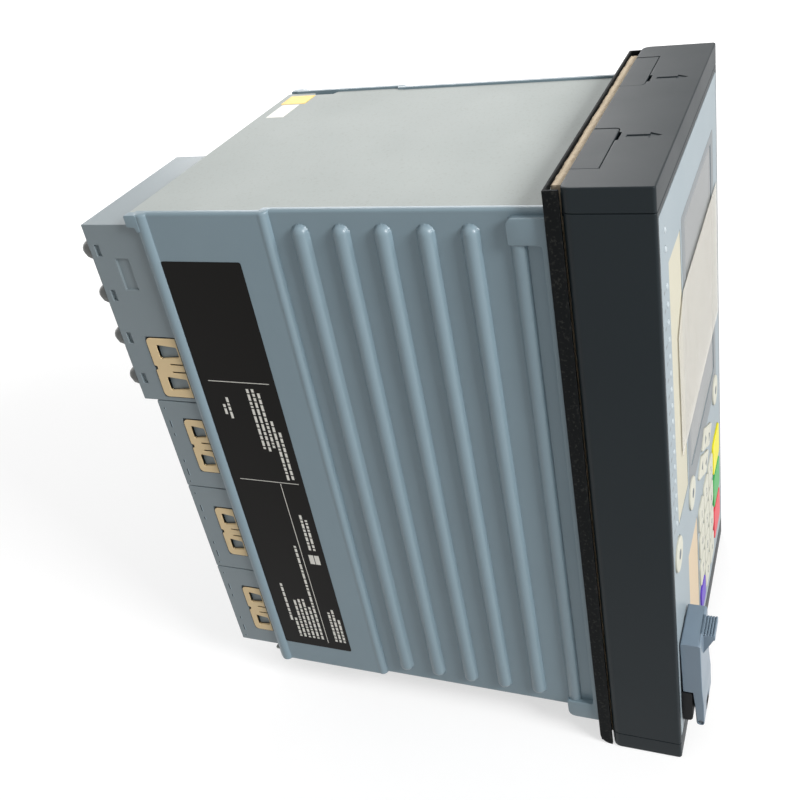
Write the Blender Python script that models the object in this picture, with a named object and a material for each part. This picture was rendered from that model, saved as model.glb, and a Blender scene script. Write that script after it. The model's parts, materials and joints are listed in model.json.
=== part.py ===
"""A flush-mounting protection relay, one third of a 19-inch rack wide, with a keypad front.

Metres, +Z up. The front faces -Y and the terminals face +Y. Every piece is placed in the
relay's own frame, where Y = 0 is the front of the bezel and Z = 0 the lower edge of the
mounting flange, and one empty then centres the relay over the origin.
"""

import math

import bmesh
import bpy
from mathutils import Matrix, Vector

# Clearance between neighbouring pieces
GAP = 0.0003

# Bevels: a round profile, and how far a face leans before it counts as upright
ROUND_PROFILE = 0.5
UPRIGHT = 0.5

# Bezel: the frame between an upper and a lower screw cover
BEZEL_WIDTH = 0.1500
BEZEL_TOP = 0.2660
BEZEL_DEPTH = 0.0300
BEZEL_LOW = 0.0003
BEZEL_FRONT_RADIUS = 0.0012
BEZEL_REAR_RADIUS = 0.0034
FRAME_WALL = 0.0022
FRAME_BACK = 0.0022
FRAME_WINDOW_MARGIN = 0.0130
PANEL_LEDGE = 0.0018
BOARD_LEDGE = 0.0040
LEDGE_DEPTH = 0.0018

# Screw covers, and the tongues of the frame that lie in their cut-outs
COVER_HEIGHT = 0.0086
COVER_WALL = 0.0020
COVER_EDGE = 0.0005
TONGUE_WIDTH = 0.0367
TONGUE_INSET = 0.0154
TONGUE_REACH = 0.0098
TONGUE_THICKNESS = 0.0017
NOTCH_SETBACK = 0.0043
NOTCH_WIDTH = 0.0075
NOTCH_DEPTH = 0.0010
ARROW_TIP = 0.0050
ARROW_LENGTH = 0.0120
ARROW_HALF_WIDTH = 0.0026
ARROW_SHAFT = 0.0009
ARROW_HEAD = 0.0042
ENGRAVING = 0.0004
SCREW_INSET = (0.00925, 0.00485)
SCREW_HOLE_RADIUS = 0.0022

# Gasket and mounting flange behind the bezel
GASKET_THICKNESS = 0.0040
GASKET_INSET_X = 0.0021
GASKET_INSET_Z = 0.0015
GASKET_WIDTH = 0.0095
FLANGE_THICKNESS = 0.0010
FLANGE_INSET = 0.0006
FLANGE_TOP_INSET = 0.0011
FLANGE_RETURN = 0.0012
FLANGE_CORNER = 0.0050

# Housing: two ribbed side walls with covers between them
WALL_LOW = 0.0165
WALL_TOP_INSET = 0.0085
WALL_REAR = 0.1962
WALL_THICKNESS = 0.0026
HOUSING_INSET = 0.0054
WALL_ROUNDING = 0.0010
RIB_COUNT = 5
RIB_FIRST = 0.0603
RIB_PITCH = 0.01615
RIB_WIDTH = 0.0070
RIB_HEIGHT = 0.0030
RIB_END_MARGIN = 0.0055
BEAD_PLACE = 0.1394
BEAD_RADIUS = 0.0021
PAD_HEIGHT = 0.0022
PAD_FRONT = 0.1415
RAIL_RADIUS = 0.0027
RAIL_SINK = 0.0013
COLLAR_HEIGHT = 0.0028
COLLAR_DEPTH = 0.0138
COLLAR_STRIP = 0.0020
COLLAR_TOP_INSET = 0.0020
COLLAR_LOW = 0.0126
COLLAR_TAB = 0.0098
COLLAR_CORNER = 0.0040
COLLAR_BEAD_PLACE = 0.0465
COLLAR_BEAD_RADIUS = 0.0029
COLLAR_BEAD_HEIGHT = 0.0023
LOBE_REAR = 0.1988
LOBE_LENGTH = 0.0045
LOBE_HEIGHT = 0.0050
COVER_DROP = 0.0015
SHEET = 0.0015
TOP_COVER_REAR = 0.2005
COVER_SLOT_FRONT = 0.1740
COVER_SLOT_REAR = 0.1860
COVER_SLOT_DEPTH = 0.0030
REAR_PANEL_THICKNESS = 0.0024
PLUG_WINDOW = (0.0240, 0.0140)

# Circuit boards, which run in rails under the top cover and on the bottom cover
BOARD_THICKNESS = 0.0016
BOARD_FRONT = 0.0460
RAIL_WIDTH = 0.0012
RAIL_HEIGHT = 0.0040
IO_BOARD_INSET = 0.0332
POWER_BOARD_SETBACK = 0.0120
PROCESSOR_BOARD_INSET = 0.0185

# Terminal blocks in the left half of the rear, from the lowest up
TERMINAL_HALF_SPLIT = 0.0003
TERMINAL_INSET = 0.0008
TERMINAL_LOW = 0.0245
TERMINAL_SEAM = 0.0005
VOLTAGE_DEPTH = 0.0206
TERMINAL_TOP_INSET = 0.0055
VOLTAGE_PARTS = (489, 487, 464)
CURRENT_PART = 820
CURRENT_DEPTH = 0.0268
DOME_RADIUS = 0.0050
DOME_HEIGHT = 0.0070
DOME_INSET = 0.0053
DOME_COUNT = 4
DOME_LOWEST = 0.0095
DOME_TOP_MARGIN = 0.0125
FUNNEL_WIDTH = 0.0150
FUNNEL_HEIGHT = 0.0130
FUNNEL_DEPTH = 0.0140
FUNNEL_PLACE = 0.0205
LATCH_SLOT = (0.0023, 0.0050, 0.0014)
LATCH_SLOT_REAR = 0.0027
SIDE_RECESS = (0.0063, 0.0139, 0.0010)
SIDE_RECESS_SETBACK = 0.0097
SIDE_RECESS_DROP = 0.0146
WIRE_ROWS = 7
WIRE_MARGIN = 0.0058
WIRE_ENTRY = (0.0038, 0.0034, 0.0080)
WIRE_SCREW_RADIUS = 0.0019
WIRE_SCREW_DEPTH = 0.0030
WIRE_ENTRY_PLACE = 0.0260
WIRE_SCREW_PLACE = 0.0185

# Release brackets, let into the terminals' side faces
BRACKET_THICKNESS = 0.0013
BRACKET_PROUD = 0.0004
BRACKET_FRONT = 0.0004
BRACKET_RISE = 0.0093
BRACKET_WIDTH = 0.0098
BRACKET_HEIGHT = 0.0282
WIDE_BRACKET_RISE = 0.0024
WIDE_BRACKET_WIDTH = 0.0145
WIDE_BRACKET_HEIGHT = 0.0290
BRACKET_WINDOW_SHARE = 0.17
BRACKET_WINDOW_MIDDLES = (0.23, 0.77)
BRACKET_WINDOW_SPAN = (0.04, 0.70)
BRACKET_WINDOW_FLARE = 1.4
BRACKET_CORNER = 0.0021
BRACKET_SLIT_SHARE = 0.45
BRACKET_SLIT = 0.0006
BRACKET_SLIT_PITCH = 0.0038

# Right half of the rear
REAR_FIELD_LEFT = 0.0040
REAR_FIELD_INSET = 0.0032
SUPPLY_CLEARANCE = 0.0046
SUPPLY_LOW = 0.0260
SUPPLY_HEIGHT = 0.0380
SUPPLY_DEPTH = 0.0164
SUPPLY_POLES = 3
SUPPLY_PITCH = 0.0110
SUPPLY_ROW_PLACE = 0.0088
SUPPLY_HOLE_RADIUS = 0.0018
PORT_WIDTH = 0.0160
PORT_HEIGHT = 0.0135
PORT_CENTRE_Z = 0.0510
PORT_FRONT = 0.1860
PORT_REAR = 0.1995
PORT_JACK = (0.0117, 0.0068, 0.0100)
PORT_KEYWAY = (0.0060, 0.0024)
EARTH_INSET = 0.0100
EARTH_HEIGHT = 0.0330
EARTH_HEAD_RADIUS = 0.0040
EARTH_HEAD_TOP_RADIUS = 0.0032
EARTH_HEAD_HEIGHT = 0.0028
EARTH_WASHER_RADIUS = 0.0050
EARTH_WASHER_THICKNESS = 0.0010
EARTH_SLOT = 0.0010
MODULE_COVER_LOW = 0.0700
MODULE_COVER_SPLIT = 0.1520
MODULE_COVER_TOP_INSET = 0.0075
MODULE_COVER_SEAM = 0.0040
MODULE_COVER_THICKNESS = 0.0016
MODULE_COVER_CORNER = 0.0015
MODULE_HEAD_RADIUS = 0.0030
MODULE_RIB_COUNT = 4
MODULE_RIB_HEIGHT = 0.0012

# Front panel, and the holes in it
PANEL_THICKNESS = 0.0022
PANEL_CORNER = 0.0010
WINDOW_SETBACK = 0.0100
WINDOW_INSET = 0.0230
WINDOW_LOW = 0.1200
WINDOW_TOP_INSET = 0.0350
WINDOW_RADIUS = 0.0015
WINDOW_SEAT = 0.0015
WINDOW_RECESS = 0.0002
MODULE_DEPTH = 0.0053
STRIP_DEPTH = 0.0009
STRIP_THICKNESS = 0.0005
LED_STRIP_SETBACK = 0.0050
LED_STRIP_WIDTH = 0.0250
LED_STRIP_LOW = 0.1190
LED_STRIP_TOP_INSET = 0.0340
KEY_STRIP_SETBACK = 0.0090
KEY_STRIP_CLEARANCE = 0.0100
KEY_STRIP_LOW = 0.0180
KEY_STRIP_TOP = 0.0840
FILM_OVERHANG = (0.0230, 0.0150)
FILM_DROP = 0.0230
FILM_CORNER = (0.0130, 0.0120)
FILM_THICKNESS = 0.0003
LED_INSET = 0.0120
LED_MARGIN = (0.0050, 0.0060)
LED_COUNT = 16
STATUS_LED_INSETS = (0.0265, 0.0197)
LED_HOLE_RADIUS = 0.0014
LED_SIDES = 8
LED_GUIDE_WIDTH = 0.0050
LED_GUIDE_DEPTH = 0.0020

# Keys, which sit in the holes with a lip behind the panel
KEY_PROUD = 0.0008
KEY_TRAVEL = 0.0008
KEY_LIP = 0.0007
KEY_LIP_THICKNESS = 0.0010
KEY_STEM_RADIUS = 0.0018
KEY_SLACK = 0.0003
ROUND_KEY_RADIUS = 0.0073
RESET_KEY_INSET = 0.0125
RESET_KEY_HEIGHT = 0.1080
SOFTKEY_OVERHANG = 0.0025
SOFTKEY_HEIGHT = 0.1085
NAV_HEIGHT = 0.1005
NAV_HALF_HEIGHT = 0.0135
NAV_CLEARANCE = 0.0055
NAV_INSET = 0.0009
NAV_RADIUS = 0.0008
KEYPAD_TOP_ROW = 0.0770
KEYPAD_SETBACK = 0.0213
KEYPAD_PITCH = (0.0161, 0.0162)
KEYPAD_KEY = (0.0139, 0.0134)
KEYPAD_COLUMNS = 3
KEYPAD_ROWS = 4
KEYPAD_RADIUS = 0.0028
COLOUR_KEY = (0.0224, 0.0184)
COLOUR_KEYS = ("yellow_key", "green_key", "red_key")
COLOUR_KEY_TOP = 0.0740
COLOUR_KEY_PITCH = 0.0205
COLOUR_KEY_INSET = 0.0235

# USB socket and the hinged flap over it
FLAP_INSET = 0.0050
FLAP_WIDTH = 0.0230
FLAP_TOP = 0.0660
FLAP_FLOOR = 0.0376
FLAP_WALL = 0.0015
FLAP_BACK = 0.00035
FLAP_DEPTH = 0.0085
FLAP_RADII = (0.0008, 0.0012, 0.004, 0.004, 0.0014, 0.0014, 0.003, 0.0002, 0.0002)
TONGUE_LOW = 0.0180
TONGUE_FRONT = 0.0093
FLAP_AXIS = (-0.0077, 0.0197)
HINGE_PIN_RADIUS = 0.0008
HINGE_SLOT_TOP = 0.0245
HINGE_LUG_WIDTH = 0.0070
HINGE_LUG_RADIUS = 0.0017
HINGE_ARM_DROP = 0.0015
BLOCK_LOW = 0.0200
BLOCK_TOP = 0.0370
BLOCK_FRONT = 0.0046
BLOCK_RADII = (0, 0.0018, 0.0010, 0)
GRIP_WIDTH = 0.0110
GRIP_OFFSET = 0.0010
GRIP_REACH = 0.0134
GRIP_THICKNESS = 0.0030
GRIP_GUSSET = 0.0111
GRIP_GROOVES = 4
GRIP_PITCH = 0.0011
GRIP_FIRST = 0.0009
GRIP_GROOVE = 0.0005
SOCKET_HEIGHT = 0.0505
SOCKET_SIZE = (0.0118, 0.0124)
SOCKET_WALL = 0.0010
SOCKET_RECESS = 0.0003
SOCKET_BACK = 0.0015

# Places that follow from the sizes above
HALF = BEZEL_WIDTH / 2
MIDDLE = (BEZEL_TOP + BEZEL_LOW) / 2
FRAME_LOW = BEZEL_LOW + COVER_HEIGHT + GAP
FRAME_TOP = BEZEL_TOP - COVER_HEIGHT - GAP
INNER_HALF = HALF - FRAME_WALL
INNER_LOW = FRAME_LOW + FRAME_WALL
INNER_TOP = FRAME_TOP - FRAME_WALL
PANEL_BACK = PANEL_THICKNESS + GAP
KEY_LIP_BACK = PANEL_BACK + KEY_LIP_THICKNESS
WINDOW_LIP_BACK = PANEL_BACK + KEY_LIP_THICKNESS
DISPLAY_FRONT = WINDOW_LIP_BACK + GAP
FRONT_BOARD_FACE = DISPLAY_FRONT + MODULE_DEPTH + GAP
FRONT_BOARD_BACK = FRONT_BOARD_FACE + BOARD_THICKNESS
GASKET_FRONT = BEZEL_DEPTH + GAP
GASKET_BACK = GASKET_FRONT + GASKET_THICKNESS
FLANGE_FRONT = GASKET_BACK + GAP
FLANGE_BACK = FLANGE_FRONT + FLANGE_THICKNESS
HOUSING_FRONT = FLANGE_BACK + GAP
WALL_TOP = BEZEL_TOP - WALL_TOP_INSET
COLLAR_TOP = WALL_TOP - COLLAR_TOP_INSET
FLANGE_HALF_WIDTH = HALF - FLANGE_INSET
FLANGE_TOP = BEZEL_TOP - FLANGE_TOP_INSET
RIB_FIELD = HALF - HOUSING_INSET
PAD_FACE = RIB_FIELD + PAD_HEIGHT
FRONT_INSIDE = RIB_FIELD - WALL_THICKNESS
REAR_INSIDE = PAD_FACE - WALL_THICKNESS
TOP_SHEET = WALL_TOP - COVER_DROP
BOTTOM_SHEET = WALL_LOW + COVER_DROP
INSIDE_TOP = TOP_SHEET - SHEET
INSIDE_LOW = BOTTOM_SHEET + SHEET
REAR_PANEL_BACK = WALL_REAR
REAR_PANEL_FRONT = REAR_PANEL_BACK - REAR_PANEL_THICKNESS
TERMINAL_FRONT = WALL_REAR + GAP
CURRENT_REAR = TERMINAL_FRONT + CURRENT_DEPTH
REAR_REACH = CURRENT_REAR + DOME_HEIGHT
TONGUE_OUTER = HALF - TONGUE_INSET
TONGUE_INNER = TONGUE_OUTER - TONGUE_WIDTH
ARROW_PLACE = TONGUE_INNER + NOTCH_SETBACK + NOTCH_WIDTH / 2
TERMINAL_FACE = PAD_FACE - TERMINAL_INSET
REAR_FIELD_RIGHT = REAR_INSIDE - REAR_FIELD_INSET
BOARD_PLACES = {
    "io_board": IO_BOARD_INSET - REAR_INSIDE,
    "power_board": REAR_FIELD_LEFT + POWER_BOARD_SETBACK,
    "processor_board": REAR_FIELD_RIGHT - PROCESSOR_BOARD_INSET,
}
PORT_LEFT = BOARD_PLACES["processor_board"] + BOARD_THICKNESS / 2 + GAP
PORT_PLACE = (PORT_LEFT + PORT_WIDTH / 2, PORT_CENTRE_Z)
SUPPLY_RIGHT = PORT_LEFT - SUPPLY_CLEARANCE
EARTH_PLACE = (REAR_FIELD_RIGHT - EARTH_INSET, EARTH_HEIGHT)
SCREW_PLACES = [
    (x * (HALF - SCREW_INSET[0]), MIDDLE + z * (BEZEL_TOP - MIDDLE - SCREW_INSET[1]))
    for x in (-1, 1)
    for z in (-1, 1)
]
LED_PLACE = LED_INSET - HALF
LED_STRIP_LEFT = LED_PLACE + LED_STRIP_SETBACK
LED_STRIP_RIGHT = LED_STRIP_LEFT + LED_STRIP_WIDTH
LED_STRIP_TOP = BEZEL_TOP - LED_STRIP_TOP_INSET
LED_STRIP = (LED_STRIP_LEFT, LED_STRIP_RIGHT, LED_STRIP_LOW, LED_STRIP_TOP)
WINDOW_LEFT = LED_STRIP_RIGHT + WINDOW_SETBACK
WINDOW_RIGHT = HALF - WINDOW_INSET
WINDOW_TOP = BEZEL_TOP - WINDOW_TOP_INSET
COLOUR_KEY_X = HALF - COLOUR_KEY_INSET
KEYPAD_LAST_X = COLOUR_KEY_X - KEYPAD_SETBACK
KEYPAD_FIRST = (KEYPAD_LAST_X - (KEYPAD_COLUMNS - 1) * KEYPAD_PITCH[0], KEYPAD_TOP_ROW)
FLAP_LEFT = FLAP_INSET - HALF
FLAP_RIGHT = FLAP_LEFT + FLAP_WIDTH
FLAP_MIDDLE = (FLAP_LEFT + FLAP_RIGHT) / 2
HINGE_LUG = (FLAP_MIDDLE - HINGE_LUG_WIDTH / 2, FLAP_MIDDLE + HINGE_LUG_WIDTH / 2)
GRIP_LEFT = FLAP_MIDDLE + GRIP_OFFSET - GRIP_WIDTH / 2
GRIP_RIGHT = GRIP_LEFT + GRIP_WIDTH
SOCKET_PLACE = (FLAP_MIDDLE, SOCKET_HEIGHT)
KEY_STRIP_LEFT = FLAP_RIGHT + KEY_STRIP_SETBACK
KEY_STRIP_RIGHT = KEYPAD_FIRST[0] - KEY_STRIP_CLEARANCE
KEY_STRIP = (KEY_STRIP_LEFT, KEY_STRIP_RIGHT, KEY_STRIP_LOW, KEY_STRIP_TOP)
ROUND_KEYS = {
    "led_reset_key": (RESET_KEY_INSET - HALF, RESET_KEY_HEIGHT),
    "softkey_left": (WINDOW_LEFT - SOFTKEY_OVERHANG, SOFTKEY_HEIGHT),
    "softkey_right": (WINDOW_RIGHT, SOFTKEY_HEIGHT),
}
NAV_CENTRE = ((WINDOW_LEFT + WINDOW_RIGHT) / 2, NAV_HEIGHT)
NAV_HALF = (WINDOW_RIGHT - NAV_CENTRE[0] - ROUND_KEY_RADIUS - KEY_LIP - NAV_CLEARANCE, NAV_HALF_HEIGHT)

# name: colour, roughness, metallic
FINISHES = {
    "housing_grey": ((0.22, 0.29, 0.33), 0.45, 0.0),
    "bezel_grey": ((0.030, 0.042, 0.052), 0.5, 0.0),
    "panel_grey": ((0.42, 0.51, 0.53), 0.4, 0.0),
    "flap_grey": ((0.17, 0.23, 0.28), 0.45, 0.0),
    "black_plastic": ((0.012, 0.012, 0.014), 0.5, 0.0),
    "black_steel": ((0.015, 0.015, 0.017), 0.55, 0.0),
    "cream_foam": ((0.70, 0.58, 0.43), 0.9, 0.0),
    "cream_plastic": ((0.80, 0.58, 0.36), 0.5, 0.0),
    "label_paper": ((0.68, 0.70, 0.55), 0.6, 0.0),
    "key_cream": ((0.66, 0.64, 0.56), 0.5, 0.0),
    "key_violet": ((0.16, 0.06, 0.44), 0.5, 0.0),
    "key_yellow": ((0.78, 0.63, 0.03), 0.45, 0.0),
    "key_green": ((0.05, 0.50, 0.09), 0.45, 0.0),
    "key_red": ((0.62, 0.03, 0.04), 0.45, 0.0),
    "display_glass": ((0.05, 0.06, 0.06), 0.08, 0.0),
    "clear_film": ((0.75, 0.75, 0.70), 0.06, 0.0),
    "light_guide": ((0.75, 0.78, 0.76), 0.3, 0.0),
    "board_green": ((0.02, 0.16, 0.06), 0.5, 0.0),
    "bright_metal": ((0.62, 0.62, 0.60), 0.3, 1.0),
}

# How the two axes of an outline and its thickness lie for a plate across X, Y or Z
ACROSS = {
    "X": Matrix(((0, 0, 1), (1, 0, 0), (0, 1, 0))),
    "Y": Matrix(((1, 0, 0), (0, 0, -1), (0, 1, 0))),
    "Z": Matrix.Identity(3),
}


def clear_scene():
    """Removes whatever the file holds."""
    for obj in list(bpy.data.objects):
        bpy.data.objects.remove(obj, do_unlink=True)


def new_collection(name):
    """A collection in the scene."""
    made = bpy.data.collections.new(name)
    bpy.context.scene.collection.children.link(made)
    return made


def new_material(name, colour, roughness, metallic):
    """A Principled material of one colour."""
    made = bpy.data.materials.new(name)
    made.use_nodes = True
    shader = made.node_tree.nodes["Principled BSDF"]
    shader.inputs["Base Color"].default_value = (*colour, 1)
    shader.inputs["Roughness"].default_value = roughness
    shader.inputs["Metallic"].default_value = metallic
    made.diffuse_color = (*colour, 1)
    return made


def rectangle(left, right, low, top):
    """The four corners of an upright rectangle."""
    return [(left, low), (right, low), (right, top), (left, top)]


def centred(centre, size, grow=0.0):
    """The four corners of a rectangle about a centre, grown by a margin all round."""
    across = size[0] / 2 + grow
    up = size[1] / 2 + grow
    return rectangle(centre[0] - across, centre[0] + across, centre[1] - up, centre[1] + up)


def rounded(corners, radius, steps=3):
    """A polygon with an arc at each corner. radius is one value, or one for each corner."""
    radii = radius if isinstance(radius, (list, tuple)) else [radius] * len(corners)
    loop = []
    for index, corner in enumerate(corners):
        here = Vector(corner)
        back = (Vector(corners[index - 1]) - here).normalized()
        on = (Vector(corners[(index + 1) % len(corners)]) - here).normalized()
        if not radii[index]:
            loop.append(tuple(here))
            continue
        half_angle = back.angle(on) / 2
        setback = radii[index] / math.tan(half_angle)
        centre = here + (back + on).normalized() * radii[index] / math.sin(half_angle)
        start = here + back * setback - centre
        end = here + on * setback - centre
        turn = start.angle(end)
        for step in range(steps + 1):
            share = step / steps
            spoke = start * math.sin((1 - share) * turn) + end * math.sin(share * turn)
            loop.append(tuple(centre + spoke / math.sin(turn)))
    return loop


def circle(centre, radius, steps=16):
    """Points round a circle."""
    turns = [2 * math.pi * step / steps for step in range(steps)]
    return [(centre[0] + radius * math.cos(a), centre[1] + radius * math.sin(a)) for a in turns]


def arc(centre, radius, first, last, steps):
    """Points along an arc between two angles in degrees."""
    angles = [math.radians(first + (last - first) * step / steps) for step in range(steps + 1)]
    return [(centre[0] + radius * math.cos(a), centre[1] + radius * math.sin(a)) for a in angles]


def mirrored(loop, side):
    """An outline on the left half, or its mirror image on the right half for side 1."""
    return [(-side * u, v) for u, v in loop]


def laid(mesh, axis, start, end):
    """Turns a mesh made about the outline plane to lie across an axis, between two places on it."""
    middle = Vector((0, 0, 0))
    middle["XYZ".index(axis)] = (start + end) / 2
    mesh.transform(Matrix.Translation(middle) @ ACROSS[axis].to_4x4())
    return mesh


def plate(axis, start, end, outline, *holes):
    """A flat outline with holes as a solid, from start to end along an axis."""
    curve = bpy.data.curves.new("outline", "CURVE")
    curve.dimensions = "2D"
    curve.fill_mode = "BOTH"
    curve.extrude = abs(end - start) / 2
    for loop in (outline, *holes):
        spline = curve.splines.new("POLY")
        spline.points.add(len(loop) - 1)
        for point, (u, v) in zip(spline.points, loop):
            point.co = (u, v, 0, 1)
        spline.use_cyclic_u = True
    drawn = bpy.data.objects.new("outline", curve)
    mesh = bpy.data.meshes.new_from_object(drawn)
    bpy.data.objects.remove(drawn)
    shape = bmesh.new()
    shape.from_mesh(mesh)
    bmesh.ops.remove_doubles(shape, verts=shape.verts, dist=1e-6)
    bmesh.ops.dissolve_limit(shape, angle_limit=0.001, verts=shape.verts, edges=shape.edges)
    bmesh.ops.recalc_face_normals(shape, faces=shape.faces)
    shape.to_mesh(mesh)
    shape.free()
    mesh.materials.clear()
    return laid(mesh, axis, start, end)


def box(x, y, z):
    """A block between two places along each axis, given in either order."""
    spans = [sorted(span) for span in (x, y, z)]
    shape = bmesh.new()
    bmesh.ops.create_cube(shape, size=1)
    size = Matrix.Diagonal([high - low for low, high in spans]).to_4x4()
    middle = Vector([(high + low) / 2 for low, high in spans])
    bmesh.ops.transform(shape, matrix=Matrix.Translation(middle) @ size, verts=shape.verts)
    return finished(shape)


def finished(shape):
    """The mesh of a bmesh, which is freed."""
    mesh = bpy.data.meshes.new("shape")
    shape.to_mesh(mesh)
    shape.free()
    return mesh


def cylinder(axis, start, end, centre, radius, far_radius=None, segments=16):
    """A round bar between two places along an axis, with far_radius at its end if it tapers."""
    radii = [radius, radius if far_radius is None else far_radius]
    if axis == "Y":
        radii.reverse()
    shape = bmesh.new()
    bmesh.ops.create_cone(
        shape,
        cap_ends=True,
        segments=segments,
        radius1=radii[0],
        radius2=radii[1],
        depth=abs(end - start),
        matrix=Matrix.Translation((*centre, 0)),
    )
    return laid(finished(shape), axis, start, end)


def dome(centre, radius, height, segments=12, rings=6):
    """A round head about a point, flattened along Y to a height."""
    shape = bmesh.new()
    bmesh.ops.create_uvsphere(shape, u_segments=segments, v_segments=rings, radius=radius)
    flat = Matrix.Diagonal((1, 1, height / radius)).to_4x4()
    turn = Matrix.Rotation(math.radians(90), 4, "X")
    place = Matrix.Translation(centre)
    bmesh.ops.transform(shape, matrix=place @ turn @ flat, verts=shape.verts)
    return finished(shape)


def capsule(centre, low, top, radius, depth, segments=12, rings=7):
    """An upright rod with round ends, with its own depth along X, and no ring at its waist."""
    waist = radius / math.cos(math.pi / (2 * rings))
    shape = bmesh.new()
    bmesh.ops.create_uvsphere(shape, u_segments=segments, v_segments=rings, radius=waist)
    half = (top - low) / 2 - radius
    for vertex in shape.verts:
        vertex.co.x *= depth / radius
        vertex.co.z += math.copysign(half, vertex.co.z)
    place = Matrix.Translation((*centre, (top + low) / 2))
    bmesh.ops.transform(shape, matrix=place, verts=shape.verts)
    return finished(shape)


def together(*meshes):
    """Several meshes as one, each a loose body of it."""
    shape = bmesh.new()
    for mesh in meshes:
        shape.from_mesh(mesh)
        bpy.data.meshes.remove(mesh)
    return finished(shape)


def add_piece(name, mesh, finish, origin=(0, 0, 0)):
    """A piece of the relay, with its origin at a place in the relay's frame."""
    mesh.transform(Matrix.Translation(-Vector(origin)))
    mesh.name = name
    mesh.materials.append(materials[finish])
    return place_piece(name, mesh, origin)


def place_piece(name, mesh, origin):
    """An object for a mesh that is already made about its own origin."""
    piece = bpy.data.objects.new(name, mesh)
    piece.parent = relay
    piece.location = origin
    pieces.objects.link(piece)
    return piece


def boolean(piece, operation, meshes, solver="EXACT"):
    """One Boolean on a piece for each mesh, which is kept as a hidden cutter."""
    for mesh in meshes:
        number = len(piece.modifiers) + 1
        tool = bpy.data.objects.new(f"{piece.name}_{operation.lower()}_{number}", mesh)
        tool.parent = relay
        tool.hide_render = True
        tool.display_type = "WIRE"
        cutters.objects.link(tool)
        step = piece.modifiers.new(tool.name, "BOOLEAN")
        step.operation = operation
        step.solver = solver
        step.object = tool


def join(piece, *meshes):
    """Adds each mesh to the piece."""
    boolean(piece, "UNION", meshes)


def cut(piece, *meshes):
    """Takes each mesh out of the piece."""
    boolean(piece, "DIFFERENCE", meshes)


def cut_pockets(piece, *meshes):
    """Takes each mesh out of a plate whose rows of holes line up, which the exact solver leaves open."""
    boolean(piece, "DIFFERENCE", meshes, "MANIFOLD")


def made_real(piece):
    """Puts the result of a piece's modifiers in its own mesh."""
    graph = bpy.context.evaluated_depsgraph_get()
    mesh = bpy.data.meshes.new_from_object(piece.evaluated_get(graph))
    tools = [step.object for step in piece.modifiers]
    piece.modifiers.clear()
    for tool in tools:
        bpy.data.objects.remove(tool)
    piece.data = mesh
    return mesh


def smooth(piece):
    """Shades a round piece smooth, with its edges kept sharp."""
    piece.data.shade_smooth()
    piece.data.set_sharp_from_angle(angle=math.radians(35))


def bezel_outline():
    """The bezel seen from above: small radii in front and larger ones behind."""
    corners = rectangle(-HALF, HALF, 0, BEZEL_DEPTH)
    radii = [BEZEL_FRONT_RADIUS] * 2 + [BEZEL_REAR_RADIUS] * 2
    return rounded(corners, radii, 4)


def screw_slot(x, z, outward):
    """A slot in an ear of the frame, round at its inner end and open to the outer edge."""
    hole = SCREW_HOLE_RADIUS
    span = (BEZEL_DEPTH - FRAME_BACK - GAP, BEZEL_DEPTH + GAP)
    round_end = arc((x, z), hole, 0, -180 * outward, 6)
    reach = z + outward * COVER_HEIGHT
    return plate("Y", *span, [*round_end, (x - hole, reach), (x + hole, reach)])


def tongue_outline(inset, rear):
    """A tongue on the right from above, or for no inset the cut-out round it, up to rear."""
    front = BEZEL_DEPTH - TONGUE_REACH + inset
    corners = rectangle(TONGUE_INNER + inset, TONGUE_OUTER - inset, front, rear)
    return rounded(corners, [2 * NOTCH_DEPTH - inset, 0, 0, 0], 2)


def build_front_frame():
    """The dark bezel: thin walls, two inner ledges, a back with ears and the covers' tongues."""
    frame = add_piece(
        "front_frame", plate("Z", FRAME_LOW, FRAME_TOP, bezel_outline()), "bezel_grey"
    )
    back = BEZEL_DEPTH - FRAME_BACK
    cut(
        frame,
        box((-INNER_HALF, INNER_HALF), (-GAP, back), (INNER_LOW, INNER_TOP)),
        box(
            (FRAME_WINDOW_MARGIN - HALF, HALF - FRAME_WINDOW_MARGIN),
            (back - GAP, BEZEL_DEPTH + GAP),
            (WALL_LOW + GASKET_WIDTH, WALL_TOP - GASKET_WIDTH),
        ),
    )
    for front, width in ((PANEL_BACK, PANEL_LEDGE), (FRONT_BOARD_BACK + GAP, BOARD_LEDGE)):
        sunk = FRAME_WALL / 2
        outside = rectangle(-INNER_HALF - sunk, INNER_HALF + sunk, INNER_LOW - sunk, INNER_TOP + sunk)
        inside = rectangle(-INNER_HALF + width, INNER_HALF - width, INNER_LOW + width, INNER_TOP - width)
        join(frame, plate("Y", front, front + LEDGE_DEPTH, outside, inside))
    ear_half = HALF - COVER_WALL - GAP
    for outer, outward, edge in ((BEZEL_TOP, 1, FRAME_TOP), (BEZEL_LOW, -1, FRAME_LOW)):
        ear_edge = outer - outward * (COVER_WALL + GAP)
        ear_root = edge - outward * FRAME_WALL / 2
        join(frame, box((-ear_half, ear_half), (back, BEZEL_DEPTH), (ear_root, ear_edge)))
        face = outer - outward * GAP / 3
        for side in (-1, 1):
            span = (side * (TONGUE_INNER + GAP), side * (TONGUE_OUTER - GAP))
            root = ear_edge - outward * FRAME_WALL / 2
            depth = sorted((face - outward * TONGUE_THICKNESS, face))
            tongue = mirrored(tongue_outline(GAP, BEZEL_DEPTH - FRAME_BACK / 2), -side)
            join(frame, box(span, (back, BEZEL_DEPTH), (root, face)), plate("Z", *depth, tongue))
    for x, z in SCREW_PLACES:
        cut(frame, screw_slot(x, z, math.copysign(1, z - MIDDLE)))


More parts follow.
